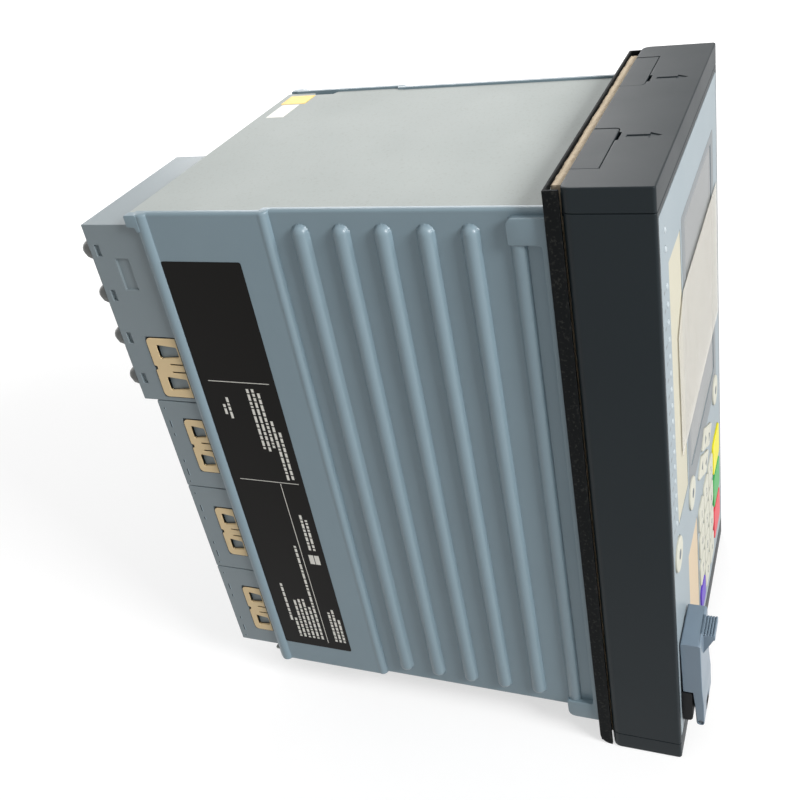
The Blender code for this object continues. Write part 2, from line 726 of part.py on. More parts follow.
def arrow_outline(x):
    """An arrow that points to the front."""
    neck = ARROW_TIP + ARROW_HEAD
    tail = ARROW_TIP + ARROW_LENGTH
    half = ARROW_HALF_WIDTH
    shaft = ARROW_SHAFT
    right = [(half, neck), (shaft, neck), (shaft, tail)]
    left = [(-u, v) for u, v in reversed(right)]
    return [(x + u, v) for u, v in [(0, ARROW_TIP), *right, *left]]


def build_screw_cover(name, outer, outward):
    """A hollow cover over two fixing screws, which slides off to the front."""
    inner = outer - outward * COVER_HEIGHT
    cover = add_piece(name, plate("Z", *sorted((outer, inner)), bezel_outline()), "bezel_grey")
    edged = bmesh.new()
    edged.from_mesh(cover.data)
    rim = [edge for edge in edged.edges if all(abs(v.co.z - outer) < GAP / 3 for v in edge.verts)]
    border = [edge for edge in rim if any(abs(face.normal.z) < UPRIGHT for face in edge.link_faces)]
    bmesh.ops.bevel(edged, geom=border, offset=COVER_EDGE, segments=2, profile=ROUND_PROFILE, affect="EDGES")
    edged.to_mesh(cover.data)
    edged.free()
    wall_half = HALF - COVER_WALL
    under = outer - outward * COVER_WALL
    cut(
        cover,
        box((-wall_half, wall_half), (COVER_WALL, BEZEL_DEPTH + GAP), (inner - outward * GAP, under)),
    )
    past = outer + outward * GAP
    for side in (-1, 1):
        front = BEZEL_DEPTH - TONGUE_REACH
        through = (under - outward * GAP, past)
        opening = tongue_outline(0, BEZEL_DEPTH + GAP)
        notch = [side * (TONGUE_INNER + NOTCH_SETBACK + width) for width in (0, NOTCH_WIDTH)]
        cut(
            cover,
            plate("Z", *sorted(through), mirrored(opening, -side)),
            box(notch, (front - NOTCH_DEPTH, front + GAP), through),
            plate("Z", *sorted((outer - outward * ENGRAVING, past)), arrow_outline(side * ARROW_PLACE)),
        )


def ring_outlines(half, low, top, width):
    """A rectangle and the window that leaves a rim of a given width inside the bezel's window."""
    outside = rectangle(-half, half, low, top)
    inside = rectangle(
        FRAME_WINDOW_MARGIN - HALF,
        HALF - FRAME_WINDOW_MARGIN,
        WALL_LOW + width,
        WALL_TOP - width,
    )
    return outside, inside


def build_gasket_and_flange():
    """The foam gasket and the black steel flange that clamp the panel's edge."""
    holes = [circle(place, SCREW_HOLE_RADIUS, 12) for place in SCREW_PLACES]
    outside, inside = ring_outlines(
        HALF - GASKET_INSET_X, GASKET_INSET_Z, BEZEL_TOP - GASKET_INSET_Z, GASKET_WIDTH
    )
    add_piece("foam_gasket", plate("Y", GASKET_FRONT, GASKET_BACK, outside, inside, *holes), "cream_foam")
    outside, inside = ring_outlines(FLANGE_HALF_WIDTH - FLANGE_RETURN / 2, 0, FLANGE_TOP, GASKET_WIDTH)
    flange = add_piece(
        "mounting_flange",
        plate("Y", FLANGE_FRONT, FLANGE_BACK, notched(outside), inside, *holes),
        "black_steel",
    )
    side_view = rounded(rectangle(GASKET_FRONT, FLANGE_BACK, 0, FLANGE_TOP), [0, FLANGE_CORNER, 0, 0], 5)
    for side in (-1, 1):
        across = sorted((side * FLANGE_HALF_WIDTH, side * (FLANGE_HALF_WIDTH - FLANGE_RETURN)))
        join(flange, plate("X", *across, side_view))


def notched(outline):
    """The flange's outline with its lower corners cut out, where the side returns are rounded off."""
    (left, low), (right, _), (_, top), _ = outline
    inner = FLANGE_HALF_WIDTH - FLANGE_RETURN - GAP
    up = low + FLANGE_CORNER
    lower = [(-inner, low), (inner, low), (inner, up), (right, up)]
    return [*lower, (right, top), (left, top), (left, up), (-inner, up)]


def wall_section():
    """The left side wall seen from above: rib field, bead, label pad and rear rail, as (X, Y)."""
    bead = arc((RIB_FIELD, BEAD_PLACE), BEAD_RADIUS, -90, 40, 6)
    rail_start = math.degrees(math.acos(RAIL_SINK / RAIL_RADIUS))
    rail = arc((PAD_FACE - RAIL_SINK, WALL_REAR - RAIL_RADIUS), RAIL_RADIUS, rail_start - 90, 90, 8)
    return [
        (FRONT_INSIDE, HOUSING_FRONT),
        (RIB_FIELD, HOUSING_FRONT),
        *bead,
        (PAD_FACE, PAD_FRONT),
        *rail,
        (REAR_INSIDE, WALL_REAR),
        (REAR_INSIDE, PAD_FRONT),
        (FRONT_INSIDE, BEAD_PLACE),
    ]


def round_outer_ends(mesh):
    """Rounds the upper and lower edges of a side wall's outer face."""
    shape = bmesh.new()
    shape.from_mesh(mesh)
    ends = [
        edge
        for edge in shape.edges
        if all(abs(v.co.x) > RIB_FIELD - GAP / 3 for v in edge.verts)
        and abs(edge.verts[0].co.z - edge.verts[1].co.z) < GAP / 3
        and any(abs(face.normal.z) < UPRIGHT for face in edge.link_faces)
    ]
    bmesh.ops.bevel(shape, geom=ends, offset=WALL_ROUNDING, segments=2, profile=ROUND_PROFILE, affect="EDGES")
    shape.to_mesh(mesh)
    shape.free()


def collar_outline():
    """The collar behind the flange from the side: a strip with a tab at either end, as (Y, Z)."""
    rear = HOUSING_FRONT + COLLAR_DEPTH
    strip = HOUSING_FRONT + COLLAR_STRIP
    low = COLLAR_LOW + COLLAR_TAB
    top = COLLAR_TOP - COLLAR_TAB
    corners = [
        (HOUSING_FRONT, COLLAR_LOW),
        (rear, COLLAR_LOW),
        (rear, low),
        (strip, low),
        (strip, top),
        (rear, top),
        (rear, COLLAR_TOP),
        (HOUSING_FRONT, COLLAR_TOP),
    ]
    inner = COLLAR_CORNER / 2
    outer = COLLAR_CORNER / 5
    return rounded(corners, [0, COLLAR_CORNER, outer, inner, inner, outer, COLLAR_CORNER, 0])


def build_side_wall(name, side):
    """A ribbed side wall, for side -1 on the left or 1 on the right."""
    section = mirrored(wall_section(), -side)
    wall = add_piece(name, plate("Z", WALL_LOW, WALL_TOP, section), "housing_grey")
    round_outer_ends(wall.data)
    rib_depth = (RIB_HEIGHT + WALL_THICKNESS) / 2 - GAP / 3
    rib_x = RIB_FIELD + RIB_HEIGHT - rib_depth
    ribs = [
        capsule(
            (side * rib_x, RIB_FIRST + index * RIB_PITCH),
            WALL_LOW + RIB_END_MARGIN,
            WALL_TOP - RIB_END_MARGIN,
            RIB_WIDTH / 2,
            rib_depth,
        )
        for index in range(RIB_COUNT)
    ]
    join(wall, together(*ribs))
    buried = FRONT_INSIDE + GAP
    across = sorted((side * buried, side * (RIB_FIELD + COLLAR_HEIGHT)))
    join(wall, plate("X", *across, collar_outline()))
    bead_depth = (COLLAR_BEAD_HEIGHT + RIB_FIELD - buried) / 2
    bead_x = RIB_FIELD + COLLAR_BEAD_HEIGHT - bead_depth
    tab = COLLAR_TAB / 2
    bead = capsule(
        (side * bead_x, COLLAR_BEAD_PLACE), COLLAR_LOW + tab, COLLAR_TOP - tab, COLLAR_BEAD_RADIUS, bead_depth
    )
    join(wall, bead)
    lobe_top = WALL_TOP - GAP / 3
    lobe = rounded(
        rectangle(LOBE_REAR - LOBE_LENGTH, LOBE_REAR, WALL_TOP - LOBE_HEIGHT, lobe_top),
        [0, LOBE_HEIGHT / 3, LOBE_HEIGHT / 3, 0],
    )
    across = sorted((side * (REAR_INSIDE + GAP), side * (PAD_FACE + RAIL_SINK / 2)))
    join(wall, plate("X", *across, lobe))


def board_rails(edge, into):
    """A pair of rails at each board, on a cover's inner face at edge, reaching inwards."""
    rails = []
    for x in BOARD_PLACES.values():
        for side in (-1, 1):
            near = x + side * (BOARD_THICKNESS / 2 + GAP)
            rails.append(
                box(
                    (near, near + side * RAIL_WIDTH),
                    (BOARD_FRONT, REAR_PANEL_FRONT - 2 * GAP),
                    (edge - into * GAP, edge + into * RAIL_HEIGHT),
                )
            )
    return together(*rails)


def cover_outline(rear, slotted):
    """A housing cover from above: wider behind the step, with a slot in its right edge."""
    narrow = FRONT_INSIDE - GAP
    wide = REAR_INSIDE - GAP
    right = [(narrow, HOUSING_FRONT), (narrow, BEAD_PLACE - GAP), (wide, BEAD_PLACE + BEAD_RADIUS)]
    left = [(-x, y) for x, y in reversed(right)]
    if slotted:
        bottom = wide - COVER_SLOT_DEPTH
        slot = [
            (wide, COVER_SLOT_FRONT),
            (bottom, COVER_SLOT_FRONT + COVER_SLOT_DEPTH / 3),
            (bottom, COVER_SLOT_REAR - COVER_SLOT_DEPTH / 3),
            (wide, COVER_SLOT_REAR),
        ]
        right.extend(slot)
    return [*right, (wide, rear), (-wide, rear), *left]


def build_housing():
    """The side walls, the sheet covers with their board rails, and the rear panel."""
    build_side_wall("left_side_wall", -1)
    build_side_wall("right_side_wall", 1)
    top = add_piece(
        "top_cover", plate("Z", INSIDE_TOP, TOP_SHEET, cover_outline(TOP_COVER_REAR, True)), "housing_grey"
    )
    join(top, board_rails(INSIDE_TOP, -1))
    bottom = add_piece(
        "bottom_cover",
        plate("Z", BOTTOM_SHEET, INSIDE_LOW, cover_outline(TOP_COVER_REAR, False)),
        "housing_grey",
    )
    join(bottom, board_rails(INSIDE_LOW, 1))
    wide = REAR_INSIDE - GAP
    holes = [centred(PORT_PLACE, (PORT_WIDTH, PORT_HEIGHT), GAP)]
    for low, top_edge in terminal_spans():
        holes.append(centred((BOARD_PLACES["io_board"], (low + top_edge) / 2), PLUG_WINDOW))
    holes.append(centred((BOARD_PLACES["power_board"], SUPPLY_LOW + SUPPLY_HEIGHT / 2), PLUG_WINDOW))
    for low, height in module_cover_spans():
        holes.append(centred((BOARD_PLACES["processor_board"], low + height / 2), PLUG_WINDOW))
    outline = rectangle(-wide, wide, INSIDE_LOW + GAP, INSIDE_TOP - GAP)
    add_piece("rear_panel", plate("Y", REAR_PANEL_FRONT, REAR_PANEL_BACK, outline, *holes), "housing_grey")


def terminal_spans():
    """The lower and upper edge of each terminal block, from the lowest up."""
    parts = (*VOLTAGE_PARTS, CURRENT_PART)
    seams = TERMINAL_SEAM * (len(parts) - 1)
    share = (WALL_TOP - TERMINAL_TOP_INSET - TERMINAL_LOW - seams) / sum(parts)
    spans = []
    low = TERMINAL_LOW
    for part in parts:
        spans.append((low, low + part * share))
        low += part * share + TERMINAL_SEAM
    return spans


def module_cover_spans():
    """The lower edge and height of each blank module cover, from the lower one up."""
    top = WALL_TOP - MODULE_COVER_TOP_INSET
    split = MODULE_COVER_SPLIT - MODULE_COVER_SEAM / 2
    above = split + MODULE_COVER_SEAM
    return [(MODULE_COVER_LOW, split - MODULE_COVER_LOW), (above, top - above)]


def build_boards():
    """The board behind the keys, and the three boards that stand in the housing's rails."""
    half = INNER_HALF - PANEL_LEDGE - GAP
    low = INNER_LOW + PANEL_LEDGE + GAP
    top = INNER_TOP - PANEL_LEDGE - GAP
    board = plate("Y", FRONT_BOARD_FACE, FRONT_BOARD_BACK, rectangle(-half, half, low, top))
    add_piece("front_board", board, "board_green")
    for name, x in BOARD_PLACES.items():
        edge = rectangle(BOARD_FRONT, REAR_PANEL_FRONT - GAP, INSIDE_LOW + GAP, INSIDE_TOP - GAP)
        thick = BOARD_THICKNESS / 2
        add_piece(name, plate("X", x - thick, x + thick, edge), "board_green")


def bracket_recess(low, width, height):
    """The recess in a terminal's side face that a release bracket lies in."""
    front = TERMINAL_FRONT + BRACKET_FRONT - GAP
    face = -TERMINAL_FACE
    floor = face - BRACKET_PROUD + BRACKET_THICKNESS + GAP
    return box((face - GAP, floor), (front, front + width + 2 * GAP), (low - GAP, low + height + GAP))


def bracket_windows(front, low, width, height):
    """Two wedge-shaped windows in a bracket, which are wider at its front."""
    near, far = (front + share * width for share in BRACKET_WINDOW_SPAN)
    half = height * BRACKET_WINDOW_SHARE / 2
    flared = BRACKET_WINDOW_FLARE * half
    windows = []
    for share in BRACKET_WINDOW_MIDDLES:
        middle = low + share * height
        wedge = [(near, middle - half), (far, middle - flared), (far, middle + flared), (near, middle + half)]
        windows.append(rounded(wedge, BRACKET_SLIT, 2))
    return windows


def build_bracket(name, low, width, height):
    """A cream bracket that releases a terminal block, with two windows, a notch and two slits."""
    front = TERMINAL_FRONT + BRACKET_FRONT
    rear = front + width
    top = low + height
    middle = (low + top) / 2
    notch = 2 * BRACKET_SLIT
    slit_end = front + width * BRACKET_SLIT_SHARE
    slits = []
    for centre in (middle + BRACKET_SLIT_PITCH / 2, middle - BRACKET_SLIT_PITCH / 2):
        upper = centre + BRACKET_SLIT / 2
        lower = centre - BRACKET_SLIT / 2
        slits += [(front, upper), (slit_end, upper), (slit_end, lower), (front, lower)]
    edge = [
        (front, low),
        (rear, low),
        (rear, middle - notch),
        (rear - notch, middle - notch / 2),
        (rear - notch, middle + notch / 2),
        (rear, middle + notch),
        (rear, top),
        (front, top),
    ]
    radii = [0, BRACKET_CORNER, 0, 0, 0, 0, BRACKET_CORNER, 0] + [0] * len(slits)
    outline = rounded(edge + slits, radii, 3)
    outer = -TERMINAL_FACE - BRACKET_PROUD
    windows = bracket_windows(front, low, width, height)
    add_piece(name, plate("X", outer, outer + BRACKET_THICKNESS, outline, *windows), "cream_plastic")


def build_voltage_terminal(name, low, top):
    """A terminal block with a wire entry and a screw beside it for each pole, in two columns."""
    rear = TERMINAL_FRONT + VOLTAGE_DEPTH
    block = box((-TERMINAL_FACE, -TERMINAL_HALF_SPLIT), (TERMINAL_FRONT, rear), (low, top))
    terminal = add_piece(name, block, "housing_grey")
    middle = (low + top) / 2
    centre_x = -(TERMINAL_FACE + TERMINAL_HALF_SPLIT) / 2
    pitch = (top - low - 2 * WIRE_MARGIN) / (WIRE_ROWS - 1)
    entries = []
    screws = []
    for row in range(WIRE_ROWS):
        z = middle + (row - (WIRE_ROWS - 1) / 2) * pitch
        for side in (-1, 1):
            entry_x = centre_x + side * (WIRE_ENTRY_PLACE - WIRE_SCREW_PLACE / 2)
            screw_x = centre_x + side * WIRE_ENTRY_PLACE
            wide, high, deep = WIRE_ENTRY
            entries.append(
                box(
                    (entry_x - wide / 2, entry_x + wide / 2),
                    (rear - deep, rear + GAP),
                    (z - high / 2, z + high / 2),
                )
            )
            sunk = (rear - WIRE_SCREW_DEPTH, rear + GAP)
            screws.append(cylinder("Y", *sunk, (screw_x, z), WIRE_SCREW_RADIUS, segments=6))
    cut(terminal, together(*entries, *screws))
    cut(terminal, bracket_recess(low + BRACKET_RISE, BRACKET_WIDTH, BRACKET_HEIGHT))


def build_current_terminal(low, top):
    """The deeper block for the current circuits, with a funnel and a round screw head a pole."""
    block = box((-TERMINAL_FACE, -TERMINAL_HALF_SPLIT), (TERMINAL_FRONT, CURRENT_REAR), (low, top))
    terminal = add_piece("current_terminal", block, "housing_grey")
    pitch = (top - low - DOME_LOWEST - DOME_TOP_MARGIN) / (DOME_COUNT - 1)
    heights = [low + DOME_LOWEST + row * pitch for row in range(DOME_COUNT)]
    domes = []
    funnels = []
    for z in heights:
        for edge, inward in ((-TERMINAL_FACE, 1), (-TERMINAL_HALF_SPLIT, -1)):
            domes.append(dome((edge + inward * DOME_INSET, CURRENT_REAR, z), DOME_RADIUS, DOME_HEIGHT))
            x = edge + inward * FUNNEL_PLACE
            funnels.append(
                box(
                    (x - FUNNEL_WIDTH / 2, x + FUNNEL_WIDTH / 2),
                    (CURRENT_REAR - FUNNEL_DEPTH, CURRENT_REAR + GAP),
                    (z - FUNNEL_HEIGHT / 2, z + FUNNEL_HEIGHT / 2),
                )
            )
    join(terminal, together(*domes))
    cut(terminal, together(*funnels))
    wide, high, deep = LATCH_SLOT
    slots = []
    back = CURRENT_REAR - LATCH_SLOT_REAR
    cut_depth = (-TERMINAL_FACE - GAP, -TERMINAL_FACE + deep)
    for z in heights:
        bottom = z + DOME_RADIUS / 4 - high / 2
        slots.append(box(cut_depth, (back - wide, back), (bottom, bottom + high)))
    wide, high, deep = SIDE_RECESS
    front = TERMINAL_FRONT + SIDE_RECESS_SETBACK
    bottom = top - SIDE_RECESS_DROP - high
    cut_depth = (-TERMINAL_FACE - GAP, -TERMINAL_FACE + deep)
    slots.append(box(cut_depth, (front, front + wide), (bottom, bottom + high)))
    cut(terminal, together(*slots))
    cut(terminal, bracket_recess(low + WIDE_BRACKET_RISE, WIDE_BRACKET_WIDTH, WIDE_BRACKET_HEIGHT))


def build_terminals():
    """The four terminal blocks and their release brackets."""
    spans = terminal_spans()
    for number, (low, top) in zip((3, 2, 1), spans):
        build_voltage_terminal(f"voltage_terminal_{number}", low, top)
        bracket = f"release_bracket_{number + 1}"
        build_bracket(bracket, low + BRACKET_RISE, BRACKET_WIDTH, BRACKET_HEIGHT)
    low, top = spans[-1]
    build_current_terminal(low, top)
    build_bracket("release_bracket_1", low + WIDE_BRACKET_RISE, WIDE_BRACKET_WIDTH, WIDE_BRACKET_HEIGHT)


def build_module_cover(name, low, height):
    """A blank cover over a module slot, with a few ribs and a screw head at either end."""
    back = TERMINAL_FRONT + MODULE_COVER_THICKNESS
    outline = rounded(rectangle(REAR_FIELD_LEFT, REAR_FIELD_RIGHT, low, low + height), MODULE_COVER_CORNER, 2)
    cover = add_piece(name, plate("Y", TERMINAL_FRONT, back, outline), "housing_grey")
    middle = (REAR_FIELD_LEFT + REAR_FIELD_RIGHT) / 2
    additions = []
    for index in range(MODULE_RIB_COUNT):
        z = low + height * (index + 1.5) / (MODULE_RIB_COUNT + 2)
        additions.append(
            box(
                (REAR_FIELD_LEFT + 3 * MODULE_RIB_HEIGHT, REAR_FIELD_RIGHT - 3 * MODULE_RIB_HEIGHT),
                (back - GAP, back + MODULE_RIB_HEIGHT),
                (z - MODULE_RIB_HEIGHT / 2, z + MODULE_RIB_HEIGHT / 2),
            )
        )
    head = back + EARTH_HEAD_HEIGHT
    for z in (low + EARTH_WASHER_RADIUS, low + height - EARTH_WASHER_RADIUS):
        additions.append(cylinder("Y", back - GAP, head, (middle, z), MODULE_HEAD_RADIUS, segments=12))
    join(cover, together(*additions))


def build_rear_fittings():
    """The supply terminal, the network port, the earth screw and the blank module covers."""
    rear = TERMINAL_FRONT + SUPPLY_DEPTH
    supply_top = SUPPLY_LOW + SUPPLY_HEIGHT
    supply = add_piece(
        "supply_terminal",
        box((REAR_FIELD_LEFT, SUPPLY_RIGHT), (TERMINAL_FRONT, rear), (SUPPLY_LOW, supply_top)),
        "black_plastic",
    )
    openings = []
    middle = ((REAR_FIELD_LEFT + SUPPLY_RIGHT) / 2, (SUPPLY_LOW + supply_top) / 2)
    for pole in range(SUPPLY_POLES):
        x = middle[0] + (pole - (SUPPLY_POLES - 1) / 2) * SUPPLY_PITCH
        for up in (-1, 1):
            z = middle[1] + up * SUPPLY_ROW_PLACE
            openings.append(
                cylinder("Y", rear - WIRE_SCREW_DEPTH, rear + GAP, (x, z), SUPPLY_HOLE_RADIUS, segments=10)
            )
    cut(supply, together(*openings))
    port = add_piece(
        "network_port",
        plate("Y", PORT_FRONT, PORT_REAR, centred(PORT_PLACE, (PORT_WIDTH, PORT_HEIGHT))),
        "bright_metal",
    )
    wide, high, deep = PORT_JACK
    key_wide, key_high = PORT_KEYWAY
    jack_low = PORT_PLACE[1] - (high + key_high) / 2
    across = PORT_PLACE[0]
    depth = (PORT_REAR - deep, PORT_REAR + GAP)
    jack_top = jack_low + key_high + high
    cut(
        port,
        box((across - wide / 2, across + wide / 2), depth, (jack_low + key_high, jack_top)),
        box((across - key_wide / 2, across + key_wide / 2), depth, (jack_low, jack_low + 2 * key_high)),
    )
    washer = TERMINAL_FRONT + EARTH_WASHER_THICKNESS
    head = washer + EARTH_HEAD_HEIGHT
    screw = add_piece(
        "earth_screw",
        cylinder("Y", TERMINAL_FRONT, washer, EARTH_PLACE, EARTH_WASHER_RADIUS, segments=20),
        "bright_metal",
    )
    radii = (EARTH_HEAD_RADIUS, EARTH_HEAD_TOP_RADIUS)
    join(screw, cylinder("Y", washer - GAP, head, EARTH_PLACE, *radii, segments=20))
    slot = (EARTH_PLACE[0] - EARTH_HEAD_RADIUS - GAP, EARTH_PLACE[0] + EARTH_HEAD_RADIUS + GAP)
    slot_z = (EARTH_PLACE[1] - EARTH_SLOT / 2, EARTH_PLACE[1] + EARTH_SLOT / 2)
    cut(screw, box(slot, (head - EARTH_SLOT, head + GAP), slot_z))
    for name, (low, height) in zip(("module_cover_lower", "module_cover_upper"), module_cover_spans()):
        build_module_cover(name, low, height)


def rhombus(centre, inset):
    """One quarter of the navigation pad, drawn in from its edges by an inset."""
    across = NAV_HALF[0] / 2
    up = NAV_HALF[1] / 2
    scale = 1 - inset * math.hypot(across, up) / (across * up)
    corners = [(-across, 0), (0, -up), (across, 0), (0, up)]
    return [(centre[0] + x * scale, centre[1] + z * scale) for x, z in corners]


def key_places():
    """Each key's centre on the panel, its shape and its finish, by its name."""
    places = {}
    for name, place in ROUND_KEYS.items():
        places[name] = (place, "round", "panel_grey")
    x, z = NAV_CENTRE
    across, up = (half / 2 for half in NAV_HALF)
    for name, place in (
        ("nav_key_up", (x, z + up)),
        ("nav_key_down", (x, z - up)),
        ("nav_key_left", (x - across, z)),
        ("nav_key_right", (x + across, z)),
    ):
        places[name] = (place, "rhombus", "panel_grey")
    for row in range(KEYPAD_ROWS):
        for column in range(KEYPAD_COLUMNS):
            violet = row == KEYPAD_ROWS - 1 and column == 0
            name = "violet_key" if violet else f"keypad_key_{row * KEYPAD_COLUMNS + column + 1}"
            place = (KEYPAD_FIRST[0] + column * KEYPAD_PITCH[0], KEYPAD_FIRST[1] - row * KEYPAD_PITCH[1])
            places[name] = (place, "keypad", "key_violet" if violet else "key_cream")
    for index, name in enumerate(COLOUR_KEYS):
        z = COLOUR_KEY_TOP - index * COLOUR_KEY_PITCH
        places[name] = ((COLOUR_KEY_X, z), "colour", f"key_{name.removesuffix('_key')}")
    return places


def key_outline(shape, centre, margin):
    """The outline of a key about a centre, with a margin round it."""
    if shape == "round":
        return circle(centre, ROUND_KEY_RADIUS + margin, 20)
    if shape == "rhombus":
        return rounded(rhombus(centre, NAV_INSET - margin), NAV_RADIUS + margin, 2)
    size = KEYPAD_KEY if shape == "keypad" else COLOUR_KEY
    return rounded(centred(centre, size, margin), KEYPAD_RADIUS + margin)


def key_mesh(shape):
    """A key about its own centre: cap, lip behind the panel and stem to the switch."""
    stem_end = FRONT_BOARD_FACE - KEY_TRAVEL - GAP
    cap = plate("Y", -KEY_PROUD, PANEL_BACK + KEY_LIP_THICKNESS / 2, key_outline(shape, (0, 0), 0))
    pattern = add_piece(f"{shape}_key_pattern", cap, "key_cream")
    join(
        pattern,
        plate("Y", PANEL_BACK, KEY_LIP_BACK, key_outline(shape, (0, 0), KEY_LIP)),
        cylinder("Y", KEY_LIP_BACK - KEY_LIP_THICKNESS / 2, stem_end, (0, 0), KEY_STEM_RADIUS, segments=8),
    )
    mesh = made_real(pattern)
    bpy.data.objects.remove(pattern)
    mesh.materials.clear()
    return mesh


def build_keys():
    """Every key, each with its origin at its own centre on the panel's face."""
    patterns = {shape: key_mesh(shape) for shape in ("round", "rhombus", "keypad", "colour")}
    for name, (place, shape, finish) in key_places().items():
        mesh = patterns[shape].copy()
        mesh.name = name
        mesh.materials.append(materials[finish])
        smooth(place_piece(name, mesh, (place[0], 0, place[1])))


def build_front_panel():
    """The panel in front, with its window, its key holes, its lamp holes and two label pockets."""
    half = INNER_HALF - GAP
    outline = rounded(rectangle(-half, half, INNER_LOW + GAP, INNER_TOP - GAP), PANEL_CORNER, 2)
    holes = [rounded(rectangle(WINDOW_LEFT, WINDOW_RIGHT, WINDOW_LOW, WINDOW_TOP), WINDOW_RADIUS)]
    for place, shape, _ in key_places().values():
        holes.append(key_outline(shape, place, KEY_SLACK))
    for z in led_places():
        holes.append(circle((LED_PLACE, z), LED_HOLE_RADIUS, LED_SIDES))
    holes.append(centred(SOCKET_PLACE, SOCKET_SIZE, GAP))
    panel = add_piece("front_panel", plate("Y", 0, PANEL_THICKNESS, outline, *holes), "panel_grey")
    for pocket in (LED_STRIP, KEY_STRIP):
        left, right, low, top = pocket
        pocket_box = box((left - GAP, right + GAP), (-GAP, STRIP_DEPTH), (low - GAP, top + GAP))
        cut_pockets(panel, pocket_box)
        name = "led_label_strip" if pocket is LED_STRIP else "key_label_strip"
        back = STRIP_DEPTH - GAP
        add_piece(name, plate("Y", back - STRIP_THICKNESS, back, rectangle(*pocket)), "label_paper")


def led_places():
    """The heights of the lamps, from the lowest up."""
    low = LED_STRIP_LOW + LED_MARGIN[0]
    pitch = (LED_STRIP_TOP - LED_MARGIN[1] - low) / (LED_COUNT - 1)
    status = [BEZEL_TOP - inset for inset in STATUS_LED_INSETS]
    return [low + index * pitch for index in range(LED_COUNT)] + status


def film_outline():
    """The loose film over the display, wider than the window, with its upper left corner cut off."""
    left = WINDOW_LEFT - FILM_OVERHANG[0]
    right = WINDOW_RIGHT + FILM_OVERHANG[1]
    low = WINDOW_LOW + FILM_DROP
    top = WINDOW_TOP - FILM_DROP
    across, down = FILM_CORNER
    return [(left, low), (right, low), (right, top), (left + across, top), (left, top - down)]


def build_display():
    """The window, the module behind it, the loose film over it and the lamps' light guide."""
    opening = rounded(
        rectangle(WINDOW_LEFT + GAP, WINDOW_RIGHT - GAP, WINDOW_LOW + GAP, WINDOW_TOP - GAP),
        WINDOW_RADIUS - GAP,
    )
    seat = rectangle(
        WINDOW_LEFT - WINDOW_SEAT,
        WINDOW_RIGHT + WINDOW_SEAT,
        WINDOW_LOW - WINDOW_SEAT,
        WINDOW_TOP + WINDOW_SEAT,
    )
    pane = plate("Y", WINDOW_RECESS, PANEL_BACK + KEY_LIP_THICKNESS / 2, opening)
    window = add_piece("display_window", pane, "display_glass")
    join(window, plate("Y", PANEL_BACK, WINDOW_LIP_BACK, seat))
    module = rectangle(WINDOW_LEFT, WINDOW_RIGHT, WINDOW_LOW, WINDOW_TOP)
    module_back = DISPLAY_FRONT + MODULE_DEPTH
    add_piece("display_module", plate("Y", DISPLAY_FRONT, module_back, module), "black_plastic")
    add_piece("display_film", plate("Y", -GAP - FILM_THICKNESS, -GAP, film_outline()), "clear_film")
    places = led_places()
    half = LED_GUIDE_WIDTH / 2
    bar = rectangle(LED_PLACE - half, LED_PLACE + half, places[0] - half, places[-1] + half)
    strip = plate("Y", PANEL_BACK, PANEL_BACK + LED_GUIDE_DEPTH, bar)
    guide = add_piece("led_light_guide", strip, "light_guide")
    pips = [
        cylinder("Y", GAP / 2, PANEL_BACK + GAP, (LED_PLACE, z), LED_HOLE_RADIUS - GAP, segments=LED_SIDES)
        for z in places
    ]
    join(guide, together(*pips))


def build_usb():
    """The socket, the hinge block under it with its pin, and the hollow flap over it."""
    left, right = FLAP_LEFT, FLAP_RIGHT
    socket_back = FRONT_BOARD_FACE - GAP
    socket = add_piece(
        "usb_socket",
        plate("Y", SOCKET_RECESS, socket_back, centred(SOCKET_PLACE, SOCKET_SIZE)),
        "bright_metal",
    )
    corners = centred(SOCKET_PLACE, SOCKET_SIZE, -SOCKET_WALL)
    hollow = rounded(corners, [0, 0, 2 * SOCKET_WALL, 2 * SOCKET_WALL], 1)
    cut(socket, plate("Y", SOCKET_RECESS - GAP, socket_back - SOCKET_BACK, hollow))
    y, z = FLAP_AXIS
    profile = rounded(
        [(-GAP, BLOCK_LOW), (-BLOCK_FRONT, BLOCK_LOW), (-BLOCK_FRONT, BLOCK_TOP), (-GAP, BLOCK_TOP)],
        BLOCK_RADII,
    )
    block = add_piece("usb_hinge_block", plate("X", left, right, profile), "black_plastic")
    lug_left, lug_right = HINGE_LUG
    arm = rectangle(y, -BLOCK_FRONT / 2, z - HINGE_ARM_DROP, z + HINGE_LUG_RADIUS)
    arm[2] = (-BLOCK_FRONT / 2, z + 3 * HINGE_LUG_RADIUS)
    arm[1] = (-BLOCK_FRONT / 2, BLOCK_LOW + HINGE_LUG_RADIUS / 2)
    hole = HINGE_PIN_RADIUS + GAP
    join(
        block,
        plate("X", lug_left, lug_right, arm),
        cylinder("X", lug_left, lug_right, FLAP_AXIS, HINGE_LUG_RADIUS),
    )
    cut(block, cylinder("X", lug_left - GAP, lug_right + GAP, FLAP_AXIS, hole, segments=12))
    pin = cylinder("X", left + GAP, right - GAP, FLAP_AXIS, HINGE_PIN_RADIUS, segments=12)
    smooth(add_piece("usb_hinge_pin", pin, "bright_metal"))
    build_flap(left, right, hole)


